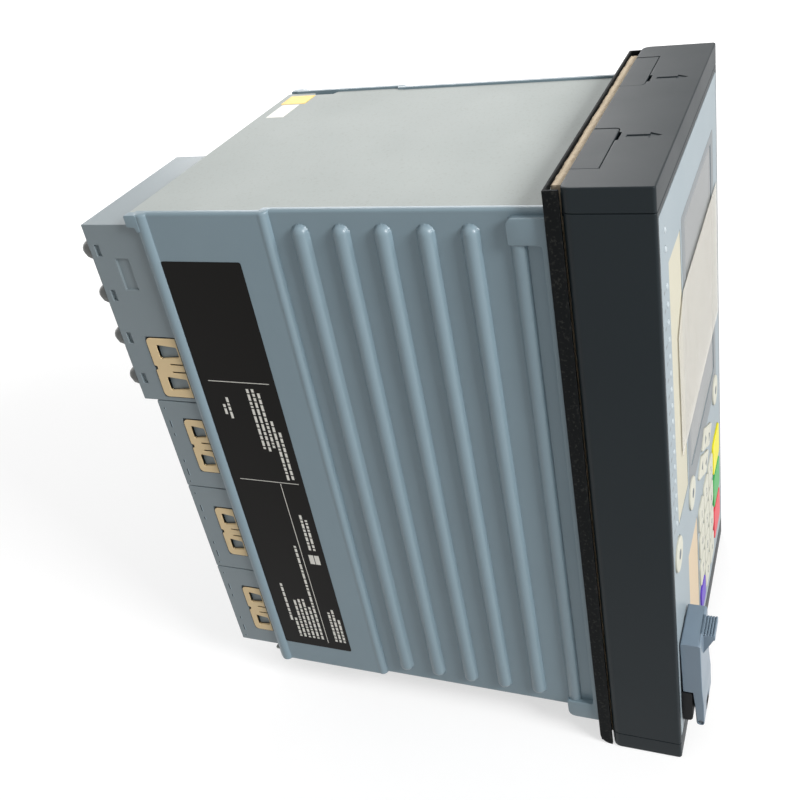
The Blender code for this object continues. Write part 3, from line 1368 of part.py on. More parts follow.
def build_flap(left, right, hole):
    """The flap: a shallow box, a split tongue down to the pin and a ribbed grip at its top."""
    y, z = FLAP_AXIS
    profile = rounded(
        [
            (-FLAP_BACK, FLAP_TOP),
            (-FLAP_DEPTH, FLAP_TOP),
            (-FLAP_DEPTH - GAP, FLAP_FLOOR + FLAP_WALL),
            (-TONGUE_FRONT, BLOCK_TOP - 4 * FLAP_WALL),
            (-TONGUE_FRONT, TONGUE_LOW),
            (2 * y + TONGUE_FRONT, TONGUE_LOW),
            (-BLOCK_FRONT - 3 * GAP, BLOCK_TOP - 4 * FLAP_WALL),
            (-BLOCK_FRONT - GAP, FLAP_FLOOR),
            (-3 * GAP, FLAP_FLOOR),
        ],
        FLAP_RADII,
    )
    flap = add_piece("usb_flap", plate("X", left, right, profile), "flap_grey", (0, y, z))
    root = -FLAP_DEPTH + FLAP_WALL / 2
    under = FLAP_TOP - GRIP_THICKNESS
    foot = FLAP_TOP - GRIP_GUSSET
    grip = [
        (root, FLAP_TOP - GAP / 3),
        (-FLAP_DEPTH, FLAP_TOP),
        (-GRIP_REACH, FLAP_TOP),
        (-GRIP_REACH, under),
        (-GRIP_REACH + GRIP_GROOVE, under),
        (-FLAP_DEPTH, foot),
        (root, foot),
    ]
    join(flap, plate("X", GRIP_LEFT, GRIP_RIGHT, grip))
    wall = FLAP_WALL
    cavity = [
        (GAP, FLAP_TOP - wall),
        (-FLAP_DEPTH + wall, FLAP_TOP - wall),
        (-FLAP_DEPTH + wall, FLAP_FLOOR + wall),
        (GAP, FLAP_FLOOR + wall),
    ]
    firsts = [GRIP_FIRST - GRIP_REACH + index * GRIP_PITCH for index in range(GRIP_GROOVES)]
    grooves = [
        box(
            (GRIP_LEFT - GAP, GRIP_RIGHT + GAP),
            (first, first + GRIP_GROOVE),
            (FLAP_TOP - GRIP_GROOVE, FLAP_TOP + GAP),
        )
        for first in firsts
    ]
    slot_left, slot_right = HINGE_LUG
    cut(
        flap,
        plate("X", left + wall, right - wall, cavity),
        box(
            (slot_left - GAP, slot_right + GAP),
            (-TONGUE_FRONT - GAP, -BLOCK_FRONT),
            (TONGUE_LOW - GAP, HINGE_SLOT_TOP),
        ),
        cylinder("X", left - GAP, right + GAP, FLAP_AXIS, hole, segments=12),
        together(*grooves),
    )


clear_scene()
pieces = new_collection("protection_relay")
cutters = new_collection("cutters")
materials = {name: new_material(name, *values) for name, values in FINISHES.items()}
relay = bpy.data.objects.new("relay", None)
relay.location = (0, (GRIP_REACH - REAR_REACH) / 2, 0)
pieces.objects.link(relay)

build_front_frame()
build_screw_cover("top_screw_cover", BEZEL_TOP, 1)
build_screw_cover("bottom_screw_cover", BEZEL_LOW, -1)
build_gasket_and_flange()
build_housing()
build_boards()
build_terminals()
build_rear_fittings()
build_front_panel()
build_display()
build_keys()
build_usb()
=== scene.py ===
"""The looks of a flush-mounting protection relay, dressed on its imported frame.

Metres, +Z up, with the front towards -Y. Places are worked out from the frame's own nodes, and
a depth is measured back from the front edge of the bezel.
"""

from __future__ import annotations

import json
import logging
import math
import random
from collections.abc import Callable, Iterable, Sequence
from dataclasses import dataclass, field
from enum import Enum

import bmesh
import bpy
import numpy as np
from mathutils import Matrix, Vector, noise

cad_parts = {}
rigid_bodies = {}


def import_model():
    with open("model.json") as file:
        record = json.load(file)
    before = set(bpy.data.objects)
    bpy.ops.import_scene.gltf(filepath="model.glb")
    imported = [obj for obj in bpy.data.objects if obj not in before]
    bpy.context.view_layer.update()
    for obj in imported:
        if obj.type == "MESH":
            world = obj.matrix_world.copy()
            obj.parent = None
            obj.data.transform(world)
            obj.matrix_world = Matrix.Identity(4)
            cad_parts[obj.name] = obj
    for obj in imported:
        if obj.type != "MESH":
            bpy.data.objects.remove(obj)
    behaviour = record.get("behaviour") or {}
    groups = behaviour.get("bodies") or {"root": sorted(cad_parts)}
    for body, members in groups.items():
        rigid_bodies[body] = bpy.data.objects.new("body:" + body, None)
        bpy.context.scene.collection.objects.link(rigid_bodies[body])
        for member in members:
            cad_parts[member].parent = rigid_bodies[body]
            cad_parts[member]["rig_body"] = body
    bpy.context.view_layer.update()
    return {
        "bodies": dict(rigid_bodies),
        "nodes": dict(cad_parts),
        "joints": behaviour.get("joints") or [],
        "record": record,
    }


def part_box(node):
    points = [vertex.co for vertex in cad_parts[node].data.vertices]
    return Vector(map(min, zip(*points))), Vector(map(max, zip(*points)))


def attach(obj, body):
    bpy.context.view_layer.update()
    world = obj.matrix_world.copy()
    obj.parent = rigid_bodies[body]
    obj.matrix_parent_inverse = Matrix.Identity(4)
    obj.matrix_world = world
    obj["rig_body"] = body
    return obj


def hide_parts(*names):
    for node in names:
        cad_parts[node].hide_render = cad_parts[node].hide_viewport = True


log = logging.getLogger("relay_looks")

Mesh = bpy.types.Mesh
Nodes = bpy.types.Nodes
Object = bpy.types.Object
Place = tuple[float, float, float]
Point = tuple[float, float]
Socket = bpy.types.NodeSocket
Span = tuple[float, float]


class Body(Enum):
    """The frame's bodies that more than one piece rides on."""

    FIXED = "root"
    FLAP = "flap_body"
    TOP_COVER = "top_cover_body"
    BOTTOM_COVER = "bottom_cover_body"


class Slot(Enum):
    """The record's material slots."""

    HOUSING = "housing_plastic"
    SHEET = "housing_sheet"
    BEZEL = "bezel_plastic"
    FLANGE = "flange_steel"
    FOAM = "gasket_foam"
    PANEL = "panel_film"
    CREAM_KEY = "key_cream"
    VIOLET_KEY = "key_violet"
    YELLOW_KEY = "key_yellow"
    GREEN_KEY = "key_green"
    RED_KEY = "key_red"
    GLASS = "display_glass"
    FILM = "clear_film"
    LIGHT = "light_guide"
    STRIP = "label_strip"
    KEY_STRIP = "key_strip"
    BLACK = "black_plastic"
    METAL = "bright_metal"
    BOARD = "board"
    BRACKET = "cream_plastic"
    FLAP = "flap_plastic"


class Side(Enum):
    """The relay's sides seen from the front."""

    LEFT = -1
    RIGHT = 1


def linear(level: float) -> float:
    """One sRGB level from 0 to 255 as a linear value."""
    share = level / 255
    return share / 12.92 if share <= 0.04045 else ((share + 0.055) / 1.055) ** 2.4


@dataclass(frozen=True)
class Finish:
    """One surface finish, made as a node material that reads Object coordinates.

    Colours are sRGB from 0 to 255, and sizes are the real ones, in metres.
    """

    name: str
    slot: Slot
    colour: tuple[int, int, int]
    roughness: float = 0.45
    metallic: float = 0.0
    mottle: float = 0.04
    mottle_size: float = 0.022
    grain_size: float = 0.0005
    grain_depth: float = 0.000012
    speckle: float = 0.0
    speckle_size: float = 0.0012
    speckle_colour: tuple[int, int, int] = (120, 110, 95)
    speckle_range: tuple[float, float] = (0.56, 0.70)
    smudge: float = 0.07
    alpha: float = 1.0
    specular: float = 0.5

    def rgba(self, colour: tuple[int, int, int], gain: float = 1.0) -> tuple[float, ...]:
        """A colour in linear light, with its alpha."""
        return (*(min(1.0, linear(level) * gain) for level in colour), 1.0)

    def material(self) -> bpy.types.Material:
        """Builds the material once, and gives the same one back after that.

        Returns:
            The material of this finish.
        """
        known = bpy.data.materials.get(self.name)
        if known:
            return known
        made = bpy.data.materials.new(self.name)
        made.use_nodes = True
        made.diffuse_color = self.rgba(self.colour)
        nodes = made.node_tree.nodes
        wire = made.node_tree.links.new
        shader = nodes["Principled BSDF"]
        shader.inputs["Metallic"].default_value = self.metallic
        shader.inputs["Alpha"].default_value = self.alpha
        shader.inputs["Specular IOR Level"].default_value = self.specular
        place = nodes.new("ShaderNodeTexCoord").outputs["Object"]
        wire(self.shade(nodes, wire, place), shader.inputs["Base Color"])
        wire(self.sheen(nodes, wire, place), shader.inputs["Roughness"])
        wire(self.relief(nodes, wire, place), shader.inputs["Normal"])
        return made

    @staticmethod
    def noise(nodes: Nodes, wire: Callable, place: Socket, scale: float, detail: float) -> Socket:
        """A noise over the surface, from nothing to one.

        Args:
            nodes: the node tree's nodes.
            wire: what links one socket to another.
            place: the socket of the place that the pattern reads.
            scale: how many cells it has in a metre.
            detail: how many finer layers it has.

        Returns:
            The socket of the noise's level.
        """
        made = nodes.new("ShaderNodeTexNoise")
        made.inputs["Scale"].default_value = scale
        made.inputs["Detail"].default_value = detail
        wire(place, made.inputs["Vector"])
        return made.outputs["Fac"]

    def shade(self, nodes: Nodes, wire: Callable, place: Socket) -> Socket:
        """The colour: a slow mottle over the surface, with specks where the finish has them.

        Args:
            nodes: the node tree's nodes.
            wire: what links one socket to another.
            place: the socket of the place that the pattern reads.

        Returns:
            The socket of the colour.
        """
        tint = nodes.new("ShaderNodeMix")
        tint.data_type = "RGBA"
        tint.inputs["A"].default_value = self.rgba(self.colour, 1 - self.mottle)
        tint.inputs["B"].default_value = self.rgba(self.colour, 1 + self.mottle)
        wire(self.noise(nodes, wire, place, 1 / self.mottle_size, 4), tint.inputs["Factor"])
        if not self.speckle:
            return tint.outputs["Result"]
        ramp = nodes.new("ShaderNodeValToRGB")
        for element, position in zip(ramp.color_ramp.elements, self.speckle_range):
            element.position = position
        ramp.color_ramp.elements[1].color = (self.speckle,) * 3 + (1,)
        wire(self.noise(nodes, wire, place, 1 / self.speckle_size, 2), ramp.inputs["Fac"])
        spotted = nodes.new("ShaderNodeMix")
        spotted.data_type = "RGBA"
        spotted.inputs["B"].default_value = self.rgba(self.speckle_colour)
        wire(ramp.outputs["Color"], spotted.inputs["Factor"])
        wire(tint.outputs["Result"], spotted.inputs["A"])
        return spotted.outputs["Result"]

    def sheen(self, nodes: Nodes, wire: Callable, place: Socket) -> Socket:
        """The roughness, a little uneven as on handled plastic.

        Args:
            nodes: the node tree's nodes.
            wire: what links one socket to another.
            place: the socket of the place that the pattern reads.

        Returns:
            The socket of the roughness.
        """
        spread = nodes.new("ShaderNodeMapRange")
        spread.inputs["To Min"].default_value = max(0.02, self.roughness - self.smudge)
        spread.inputs["To Max"].default_value = min(1.0, self.roughness + self.smudge)
        wire(self.noise(nodes, wire, place, 0.6 / self.mottle_size, 6), spread.inputs["Value"])
        return spread.outputs["Result"]

    def relief(self, nodes: Nodes, wire: Callable, place: Socket) -> Socket:
        """The fine grain of the mould or the paint.

        Args:
            nodes: the node tree's nodes.
            wire: what links one socket to another.
            place: the socket of the place that the pattern reads.

        Returns:
            The socket of the normal.
        """
        bump = nodes.new("ShaderNodeBump")
        bump.inputs["Strength"].default_value = 1.0
        bump.inputs["Distance"].default_value = self.grain_depth
        wire(self.noise(nodes, wire, place, 1 / self.grain_size, 3), bump.inputs["Height"])
        return bump.outputs["Normal"]


HOUSING = Finish("moulded_blue_grey", Slot.HOUSING, (126, 146, 156), roughness=0.34)
# The sheets' light grey is partly their own paint and partly painted light: it is made lighter than the
# walls' blue-grey to stand for the top cover lit from above.
SHEET = Finish(
    "light_grey_paint_with_painted_top_light", Slot.SHEET, (172, 178, 175), roughness=0.55, grain_size=0.0011, speckle=0.12,
    specular=0.15,
)
BEZEL = Finish("moulded_anthracite", Slot.BEZEL, (25, 33, 37), grain_size=0.0004, specular=0.2)
FLANGE = Finish(
    "coated_black_steel", Slot.FLANGE, (16, 18, 19), roughness=0.6, grain_depth=0.00004, speckle=0.28,
    speckle_size=0.0011, speckle_colour=(82, 82, 78), specular=0.08,
)
FOAM = Finish(
    "cream_cell_foam", Slot.FOAM, (221, 203, 176), roughness=0.95, mottle=0.12, mottle_size=0.004,
    grain_size=0.0007, grain_depth=0.0002, speckle=0.5, speckle_size=0.0010, speckle_colour=(176, 152, 120),
)
PANEL = Finish("pale_blue_panel_film", Slot.PANEL, (150, 162, 168), roughness=0.4, mottle=0.02, specular=0.1)
DARK_FIELD = Finish(
    "grey_printed_field", Slot.PANEL, (126, 131, 134), roughness=0.4, mottle=0.02, specular=0.1
)
CREAM_KEY = Finish("cream_key_rubber", Slot.CREAM_KEY, (203, 202, 188), roughness=0.5, specular=0.15)
VIOLET_KEY = Finish("violet_key_rubber", Slot.VIOLET_KEY, (96, 66, 178), specular=0.2)
YELLOW_KEY = Finish("yellow_key_rubber", Slot.YELLOW_KEY, (226, 218, 32), specular=0.2)
GREEN_KEY = Finish("green_key_rubber", Slot.GREEN_KEY, (58, 160, 78), specular=0.2)
RED_KEY = Finish("red_key_rubber", Slot.RED_KEY, (214, 62, 74), specular=0.2)
GLASS = Finish(
    "display_glass_grey", Slot.GLASS, (124, 127, 127), roughness=0.25, mottle=0.02, grain_depth=0.0,
    specular=0.08,
)
FILM = Finish(
    "clear_loose_film", Slot.FILM, (222, 217, 203), roughness=0.2, alpha=0.5, grain_depth=0.0, specular=0.3
)
LENS = Finish("clear_lamp_lens", Slot.LIGHT, (178, 188, 192), roughness=0.22, grain_depth=0.0, specular=0.3)
STRIP = Finish("pale_label_card", Slot.STRIP, (200, 196, 178), roughness=0.6, specular=0.1)
KEY_STRIP = Finish("beige_label_card", Slot.KEY_STRIP, (210, 192, 166), roughness=0.6, specular=0.1)
BLACK = Finish("moulded_black", Slot.BLACK, (17, 18, 20), roughness=0.42, specular=0.15)
METAL = Finish(
    "plated_bright_metal", Slot.METAL, (206, 206, 202), roughness=0.26, metallic=1.0, grain_depth=0.000004
)
BOARD = Finish(
    "green_solder_mask", Slot.BOARD, (28, 104, 64), roughness=0.35, speckle=0.3, speckle_colour=(70, 140, 96)
)
BRACKET = Finish("cream_moulding", Slot.BRACKET, (236, 210, 164), roughness=0.42, specular=0.3)
FLAP = Finish("moulded_flap_grey", Slot.FLAP, (120, 136, 150), roughness=0.36, specular=0.35)
LABEL = Finish(
    "black_label_foil", Slot.HOUSING, (15, 13, 11), roughness=0.34, mottle=0.03, grain_depth=0.000004,
    specular=0.1,
)
PRINT = Finish("white_label_print", Slot.HOUSING, (232, 230, 222), roughness=0.5, grain_depth=0.0)
YELLOW_STICKER = Finish("yellow_sticker", Slot.SHEET, (240, 198, 52), grain_depth=0.0)
WHITE_STICKER = Finish("white_sticker", Slot.SHEET, (238, 236, 228), roughness=0.5, grain_depth=0.0)
INK = Finish("grey_ink", Slot.PANEL, (74, 84, 92), roughness=0.5, grain_depth=0.0)
PIN = Finish("dull_pin_steel", Slot.METAL, (92, 100, 106), roughness=0.55, metallic=0.5)
BLOCK = Finish("moulded_block_grey", Slot.HOUSING, (128, 140, 145), roughness=0.4)
# Painted shade and painted highlight: flat bars that stand for the latch slots' shade and their lit edges.
SHADE = Finish("shaded_slot", Slot.HOUSING, (58, 66, 72), roughness=0.6, grain_depth=0.0, specular=0.1)
LIT_EDGE = Finish("lit_slot_edge", Slot.HOUSING, (152, 170, 180), roughness=0.4, grain_depth=0.0)
HEAD = Finish("dark_screw_cap", Slot.HOUSING, (92, 94, 92), roughness=0.5)
STEEL = Finish(
    "zinc_screw_steel", Slot.METAL, (176, 178, 176), roughness=0.34, metallic=1.0, grain_depth=0.000008
)


@dataclass
class Frame:
    """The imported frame: its nodes, and the depths that pieces are measured from."""

    loaded: dict
    datum: float = field(init=False)

    def __post_init__(self) -> None:
        """Takes the plane of the bezel's front edge as the datum."""
        self.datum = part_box("front_frame")[0].y

    def node(self, name: str) -> Object:
        """The frame's own object for a node."""
        return self.loaded["nodes"][name]

    def body_of(self, name: str) -> str:
        """The body that a node rides on."""
        return self.node(name)["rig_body"]

    def depth(self, distance: float) -> float:
        """The world Y of a place this far behind the bezel's front edge."""
        return self.datum + distance


class Workshop:
    """Meshes shared by the sub-assemblies: closed, with faces outwards, in the row frame."""

    MERGE = 2e-6
    SHARP_DEGREES = 32

    @staticmethod
    def mesh_of(shape: bmesh.types.BMesh, name: str) -> Mesh:
        """The mesh of a bmesh, which is freed.

        Args:
            shape: the bmesh.
            name: the mesh's name.

        Returns:
            The mesh.
        """
        mesh = bpy.data.meshes.new(name)
        shape.to_mesh(mesh)
        shape.free()
        return mesh

    @staticmethod
    def rounded(corners: Sequence[Point], radius: float | Sequence[float], steps: int = 5) -> list[Point]:
        """A convex or concave outline with an arc at each corner.

        Args:
            corners: the corners in order.
            radius: the radius of every corner, or one for each.
            steps: the number of steps in each arc.

        Returns:
            The points of the outline.
        """
        loop = []
        radii = [radius] * len(corners) if isinstance(radius, float) else radius
        for index, (corner, bend) in enumerate(zip(corners, radii)):
            here = Vector(corner)
            back = (Vector(corners[index - 1]) - here).normalized()
            on = (Vector(corners[(index + 1) % len(corners)]) - here).normalized()
            setback = bend / math.tan(back.angle(on) / 2)
            first, last = here + back * setback, here + on * setback
            for step in range(steps + 1):
                share = step / steps
                curve = first * (1 - share) ** 2 + here * 2 * share * (1 - share) + last * share**2
                loop.append(tuple(curve))
        return loop

    @staticmethod
    def bevel(
        shape: bmesh.types.BMesh, edges: Sequence[bmesh.types.BMEdge], width: float, steps: int, clamp: bool
    ) -> None:
        """Rounds off some edges of a bmesh.

        Args:
            shape: the bmesh.
            edges: the edges.
            width: the reach of each rounding.
            steps: the number of steps in each rounding.
            clamp: whether roundings stop where they meet.
        """
        bmesh.ops.bevel(
            shape, geom=edges, offset=width, segments=steps, profile=0.5, affect="EDGES", clamp_overlap=clamp
        )

    @staticmethod
    def prism(outline: Sequence[Point], height: float, edge: float = 0.0, segments: int = 3) -> Mesh:
        """A flat outline raised from z = 0 to a height, with its upper rim rounded.

        Args:
            outline: the points of the outline, in the plane z = 0.
            height: how far it is raised.
            edge: the radius of the upper rim.
            segments: the number of steps in the rim.

        Returns:
            A closed mesh.
        """
        shape = bmesh.new()
        base = shape.faces.new([shape.verts.new((*point, 0)) for point in outline])
        raised = bmesh.ops.extrude_face_region(shape, geom=[base])
        top = [item for item in raised["geom"] if isinstance(item, bmesh.types.BMVert)]
        bmesh.ops.translate(shape, verts=top, vec=(0, 0, height))
        bmesh.ops.recalc_face_normals(shape, faces=shape.faces)
        if edge:
            rim = [item for item in shape.edges if all(vert.co.z > height - 1e-7 for vert in item.verts)]
            Workshop.bevel(shape, rim, edge, segments, True)
        return Workshop.mesh_of(shape, "prism")

    @staticmethod
    def softened(source: Object, width: float, segments: int = 2) -> Mesh:
        """A merged copy of a frame node with its sharp edges rounded off.

        Args:
            source: the node's object.
            width: how far each rounding reaches into the faces beside its edge.
            segments: the number of steps in each rounding.

        Returns:
            The mesh of the copy, without materials.
        """
        shape = bmesh.new()
        shape.from_mesh(source.data)
        bmesh.ops.remove_doubles(shape, verts=shape.verts, dist=Workshop.MERGE)
        sharp = [
            item
            for item in shape.edges
            if len(item.link_faces) == 2 and item.calc_face_angle() > math.radians(Workshop.SHARP_DEGREES)
        ]
        Workshop.bevel(shape, sharp, width, segments, False)
        return Workshop.mesh_of(shape, f"{source.name}_soft")

    @staticmethod
    def slab(outer: np.ndarray, inner: np.ndarray, name: str) -> Mesh:
        """A closed slab between two grids of the same shape.

        Args:
            outer: the points of the outer face, as rows by columns by three.
            inner: the points of the inner face.
            name: the mesh's name.

        Returns:
            The closed mesh, with its faces outwards.
        """
        rows, columns, _ = outer.shape
        points = np.concatenate([outer.reshape(-1, 3), inner.reshape(-1, 3)])
        first = np.arange(rows * columns).reshape(rows, columns)
        far = first + rows * columns
        faces = []
        for grid, turned in ((first, False), (far, True)):
            around = [grid[:-1, :-1], grid[1:, :-1], grid[1:, 1:], grid[:-1, 1:]]
            quads = np.stack(around, axis=-1).reshape(-1, 4)
            faces.extend((quads[:, ::-1] if turned else quads).tolist())
        rim = [*first[0], *first[1:, -1], *first[-1, -2::-1], *first[-2:0:-1, 0]]
        for here, there in zip(rim, rim[1:] + rim[:1]):
            faces.append([here, there, there + rows * columns, here + rows * columns])
        mesh = bpy.data.meshes.new(name)
        mesh.from_pydata(points.tolist(), [], [[int(item) for item in face] for face in faces])
        shape = bmesh.new()
        shape.from_mesh(mesh)
        bmesh.ops.recalc_face_normals(shape, faces=shape.faces)
        shape.to_mesh(mesh)
        shape.free()
        return mesh

    @staticmethod
    def joined(meshes: Iterable[tuple[Mesh, Finish]], name: str) -> Mesh:
        """Several meshes as one, each keeping its own finish.

        Args:
            meshes: the meshes, each with its finish.
            name: the name of the whole.

        Returns:
            The joined mesh.
        """
        whole = bmesh.new()
        finishes: list[Finish] = []
        for mesh, finish in meshes:
            if finish not in finishes:
                finishes.append(finish)
            start = len(whole.faces)
            whole.from_mesh(mesh)
            whole.faces.ensure_lookup_table()
            for face in whole.faces[start:]:
                face.material_index = finishes.index(finish)
            bpy.data.meshes.remove(mesh)
        made = Workshop.mesh_of(whole, name)
        for finish in finishes:
            made.materials.append(finish.material())
        return made

    @staticmethod
    def facing(mesh: Mesh, origin: Sequence[float], right: Sequence[float], up: Sequence[float]) -> Mesh:
        """Lays a drawing's x and y along two directions from a place.

        Args:
            mesh: the drawing.
            origin: the place of its origin.
            right: where its x goes.
            up: where its y goes.

        Returns:
            The same mesh.
        """
        out = Vector(right).cross(Vector(up))
        turn = Matrix((right, up, out)).transposed().to_4x4()
        mesh.transform(Matrix.Translation(origin) @ turn)
        return mesh

    @staticmethod
    def to_front(mesh: Mesh, place: Sequence[float]) -> Mesh:
        """Lays a drawing of X and Z, from a place, so that it looks to the front."""
        return Workshop.facing(mesh, place, (1, 0, 0), (0, 0, 1))

    @staticmethod
    def to_right(mesh: Mesh, x: float) -> Mesh:
        """Lays a drawing of Y and Z at an X, so that it looks to the right."""
        return Workshop.facing(mesh, (x, 0, 0), (0, 1, 0), (0, 0, 1))

    @staticmethod
    def to_left(mesh: Mesh, x: float) -> Mesh:
        """Lays a drawing of Z and Y at an X, so that it looks to the left."""
        return Workshop.facing(mesh, (x, 0, 0), (0, 0, 1), (0, 1, 0))

    @staticmethod
    def rectangle(left: float, right: float, low: float, high: float) -> list[Point]:
        """The four corners of a rectangle, in order."""
        return [(left, low), (right, low), (right, high), (left, high)]


@dataclass(frozen=True)
class Level:
    """A number in a node tree, with the sums that a rule is written in."""

    graph: "NodeGraph"
    socket: Socket

    def __add__(self, other: "Level | float") -> "Level":
        """The sum."""
        return self.graph.math("ADD", self, other)

    def __sub__(self, other: "Level | float") -> "Level":
        """The difference."""
        return self.graph.math("SUBTRACT", self, other)

    def __mul__(self, other: "Level | float") -> "Level":
        """The product."""
        return self.graph.math("MULTIPLY", self, other)

    def __truediv__(self, other: "Level | float") -> "Level":
        """The quotient."""
        return self.graph.math("DIVIDE", self, other)


class NodeGraph:
    """A geometry node tree with named inputs, run on a mesh and turned into a plain mesh."""

    def __init__(self, name: str, numbers: dict[str, float]) -> None:
        """Makes the tree with its geometry, its numbers and its material as inputs.

        Args:
            name: the tree's name.
            numbers: each size by its name, with its value.
        """
        self.tree = bpy.data.node_groups.new(name, "GeometryNodeTree")
        face = self.tree.interface
        face.new_socket("Geometry", in_out="INPUT", socket_type="NodeSocketGeometry")
        self.sockets = {}
        self.values: dict[str, float] = dict(numbers)
        kinds = {
            label: "NodeSocketInt" if isinstance(value, int) else "NodeSocketFloat"
            for label, value in numbers.items()
        }
        for label, kind in (kinds | {"Material": "NodeSocketMaterial"}).items():
            self.sockets[label] = face.new_socket(label, in_out="INPUT", socket_type=kind)
        face.new_socket("Geometry", in_out="OUTPUT", socket_type="NodeSocketGeometry")
        self.entry = self.tree.nodes.new("NodeGroupInput")

    def __getitem__(self, label: str) -> Level:
        """One of the tree's own inputs."""
        return Level(self, self.entry.outputs[label])

    def feed(self, socket: Socket, value: "Level | Socket | float | tuple") -> None:
        """Wires a value to a socket, or sets it there.

        Args:
            socket: the socket that takes the value.
            value: a level, another socket or a plain value.
        """
        if isinstance(value, Level):
            value = value.socket
        if isinstance(value, Socket):
            self.tree.links.new(value, socket)
        else:
            socket.default_value = value

    def node(self, kind: str, settings: dict | None = None, **inputs: object) -> bpy.types.Node:
        """Adds a node, with its settings and its inputs by name, where _ stands for a space.

        Args:
            kind: the node's type.
            settings: its own settings by name.
            inputs: what its inputs take.

        Returns:
            The node.
        """
        made = self.tree.nodes.new(kind)
        for label, value in (settings or {}).items():
            setattr(made, label, value)
        for label, value in inputs.items():
            self.feed(made.inputs[label.replace("_", " ")], value)
        return made

    def math(self, operation: str, *values: "Level | float") -> Level:
        """A number worked out by one math node.

        Args:
            operation: the node's operation.
            values: its operands.

        Returns:
            The result.
        """
        made = self.node("ShaderNodeMath", {"operation": operation})
        for socket, value in zip(made.inputs, values):
            self.feed(socket, value)
        return Level(self, made.outputs[0])

    def root_of(self, value: Level) -> Level:
        """The square root, or nothing under zero."""
        return self.math("SQRT", self.math("MAXIMUM", value, 0.0))

    def vector(self, x: "Level | float", y: "Level | float", z: "Level | float") -> Socket:
        """Three numbers as one vector."""
        return self.node("ShaderNodeCombineXYZ", X=x, Y=y, Z=z).outputs[0]

    def on_points(self, shape: Socket, **more: Socket) -> Socket:
        """A shape repeated on the points of the incoming mesh.

        Args:
            shape: the shape.
            more: further inputs of the node.

        Returns:
            The socket of the instances.
        """
        placed = self.node(
            "GeometryNodeInstanceOnPoints", Points=self.entry.outputs["Geometry"], Instance=shape, **more
        )
        return placed.outputs[0]

    def finish(self, shape: Socket) -> None:
        """Ends the tree in real geometry with its material.

        Args:
            shape: the socket of the tree's shape.
        """
        real = self.node("GeometryNodeRealizeInstances", Geometry=shape)
        dressed = self.node(
            "GeometryNodeSetMaterial", Geometry=real.outputs[0], Material=self.entry.outputs["Material"]
        )
        end = self.tree.nodes.new("NodeGroupOutput")
        self.tree.links.new(dressed.outputs[0], end.inputs[0])

    def run(
        self,
        places: Sequence[Place],
        finish: Finish,
        stretches: Sequence[float] = (),
        **numbers: float,
    ) -> Mesh:
        """Runs the tree on a mesh of points, and gives the plain mesh that comes of it.

        Args:
            places: the points that the shapes stand on.
            finish: the finish of the result.
            stretches: how long the shape on each point is, for a tree that asks for it.
            numbers: inputs that differ from the tree's own, where _ stands for a space.

        Returns:
            A plain mesh.
        """
        points = bpy.data.meshes.new("places")
        points.from_pydata(list(places), [], [])
        if stretches:
            points.attributes.new("stretch", "FLOAT", "POINT").data.foreach_set("value", list(stretches))
        carrier = bpy.data.objects.new("carrier", points)
        bpy.context.scene.collection.objects.link(carrier)
        modifier = carrier.modifiers.new("tree", "NODES")
        modifier.node_group = self.tree
        chosen = self.values | {label.replace("_", " "): value for label, value in numbers.items()}
        for label, value in chosen.items():
            modifier[self.sockets[label].identifier] = value
        modifier[self.sockets["Material"].identifier] = finish.material()
        graph = bpy.context.evaluated_depsgraph_get()
        made = bpy.data.meshes.new_from_object(carrier.evaluated_get(graph))
        carrier.modifiers.remove(modifier)
        bpy.data.objects.remove(carrier)
        bpy.data.meshes.remove(points)
        return made


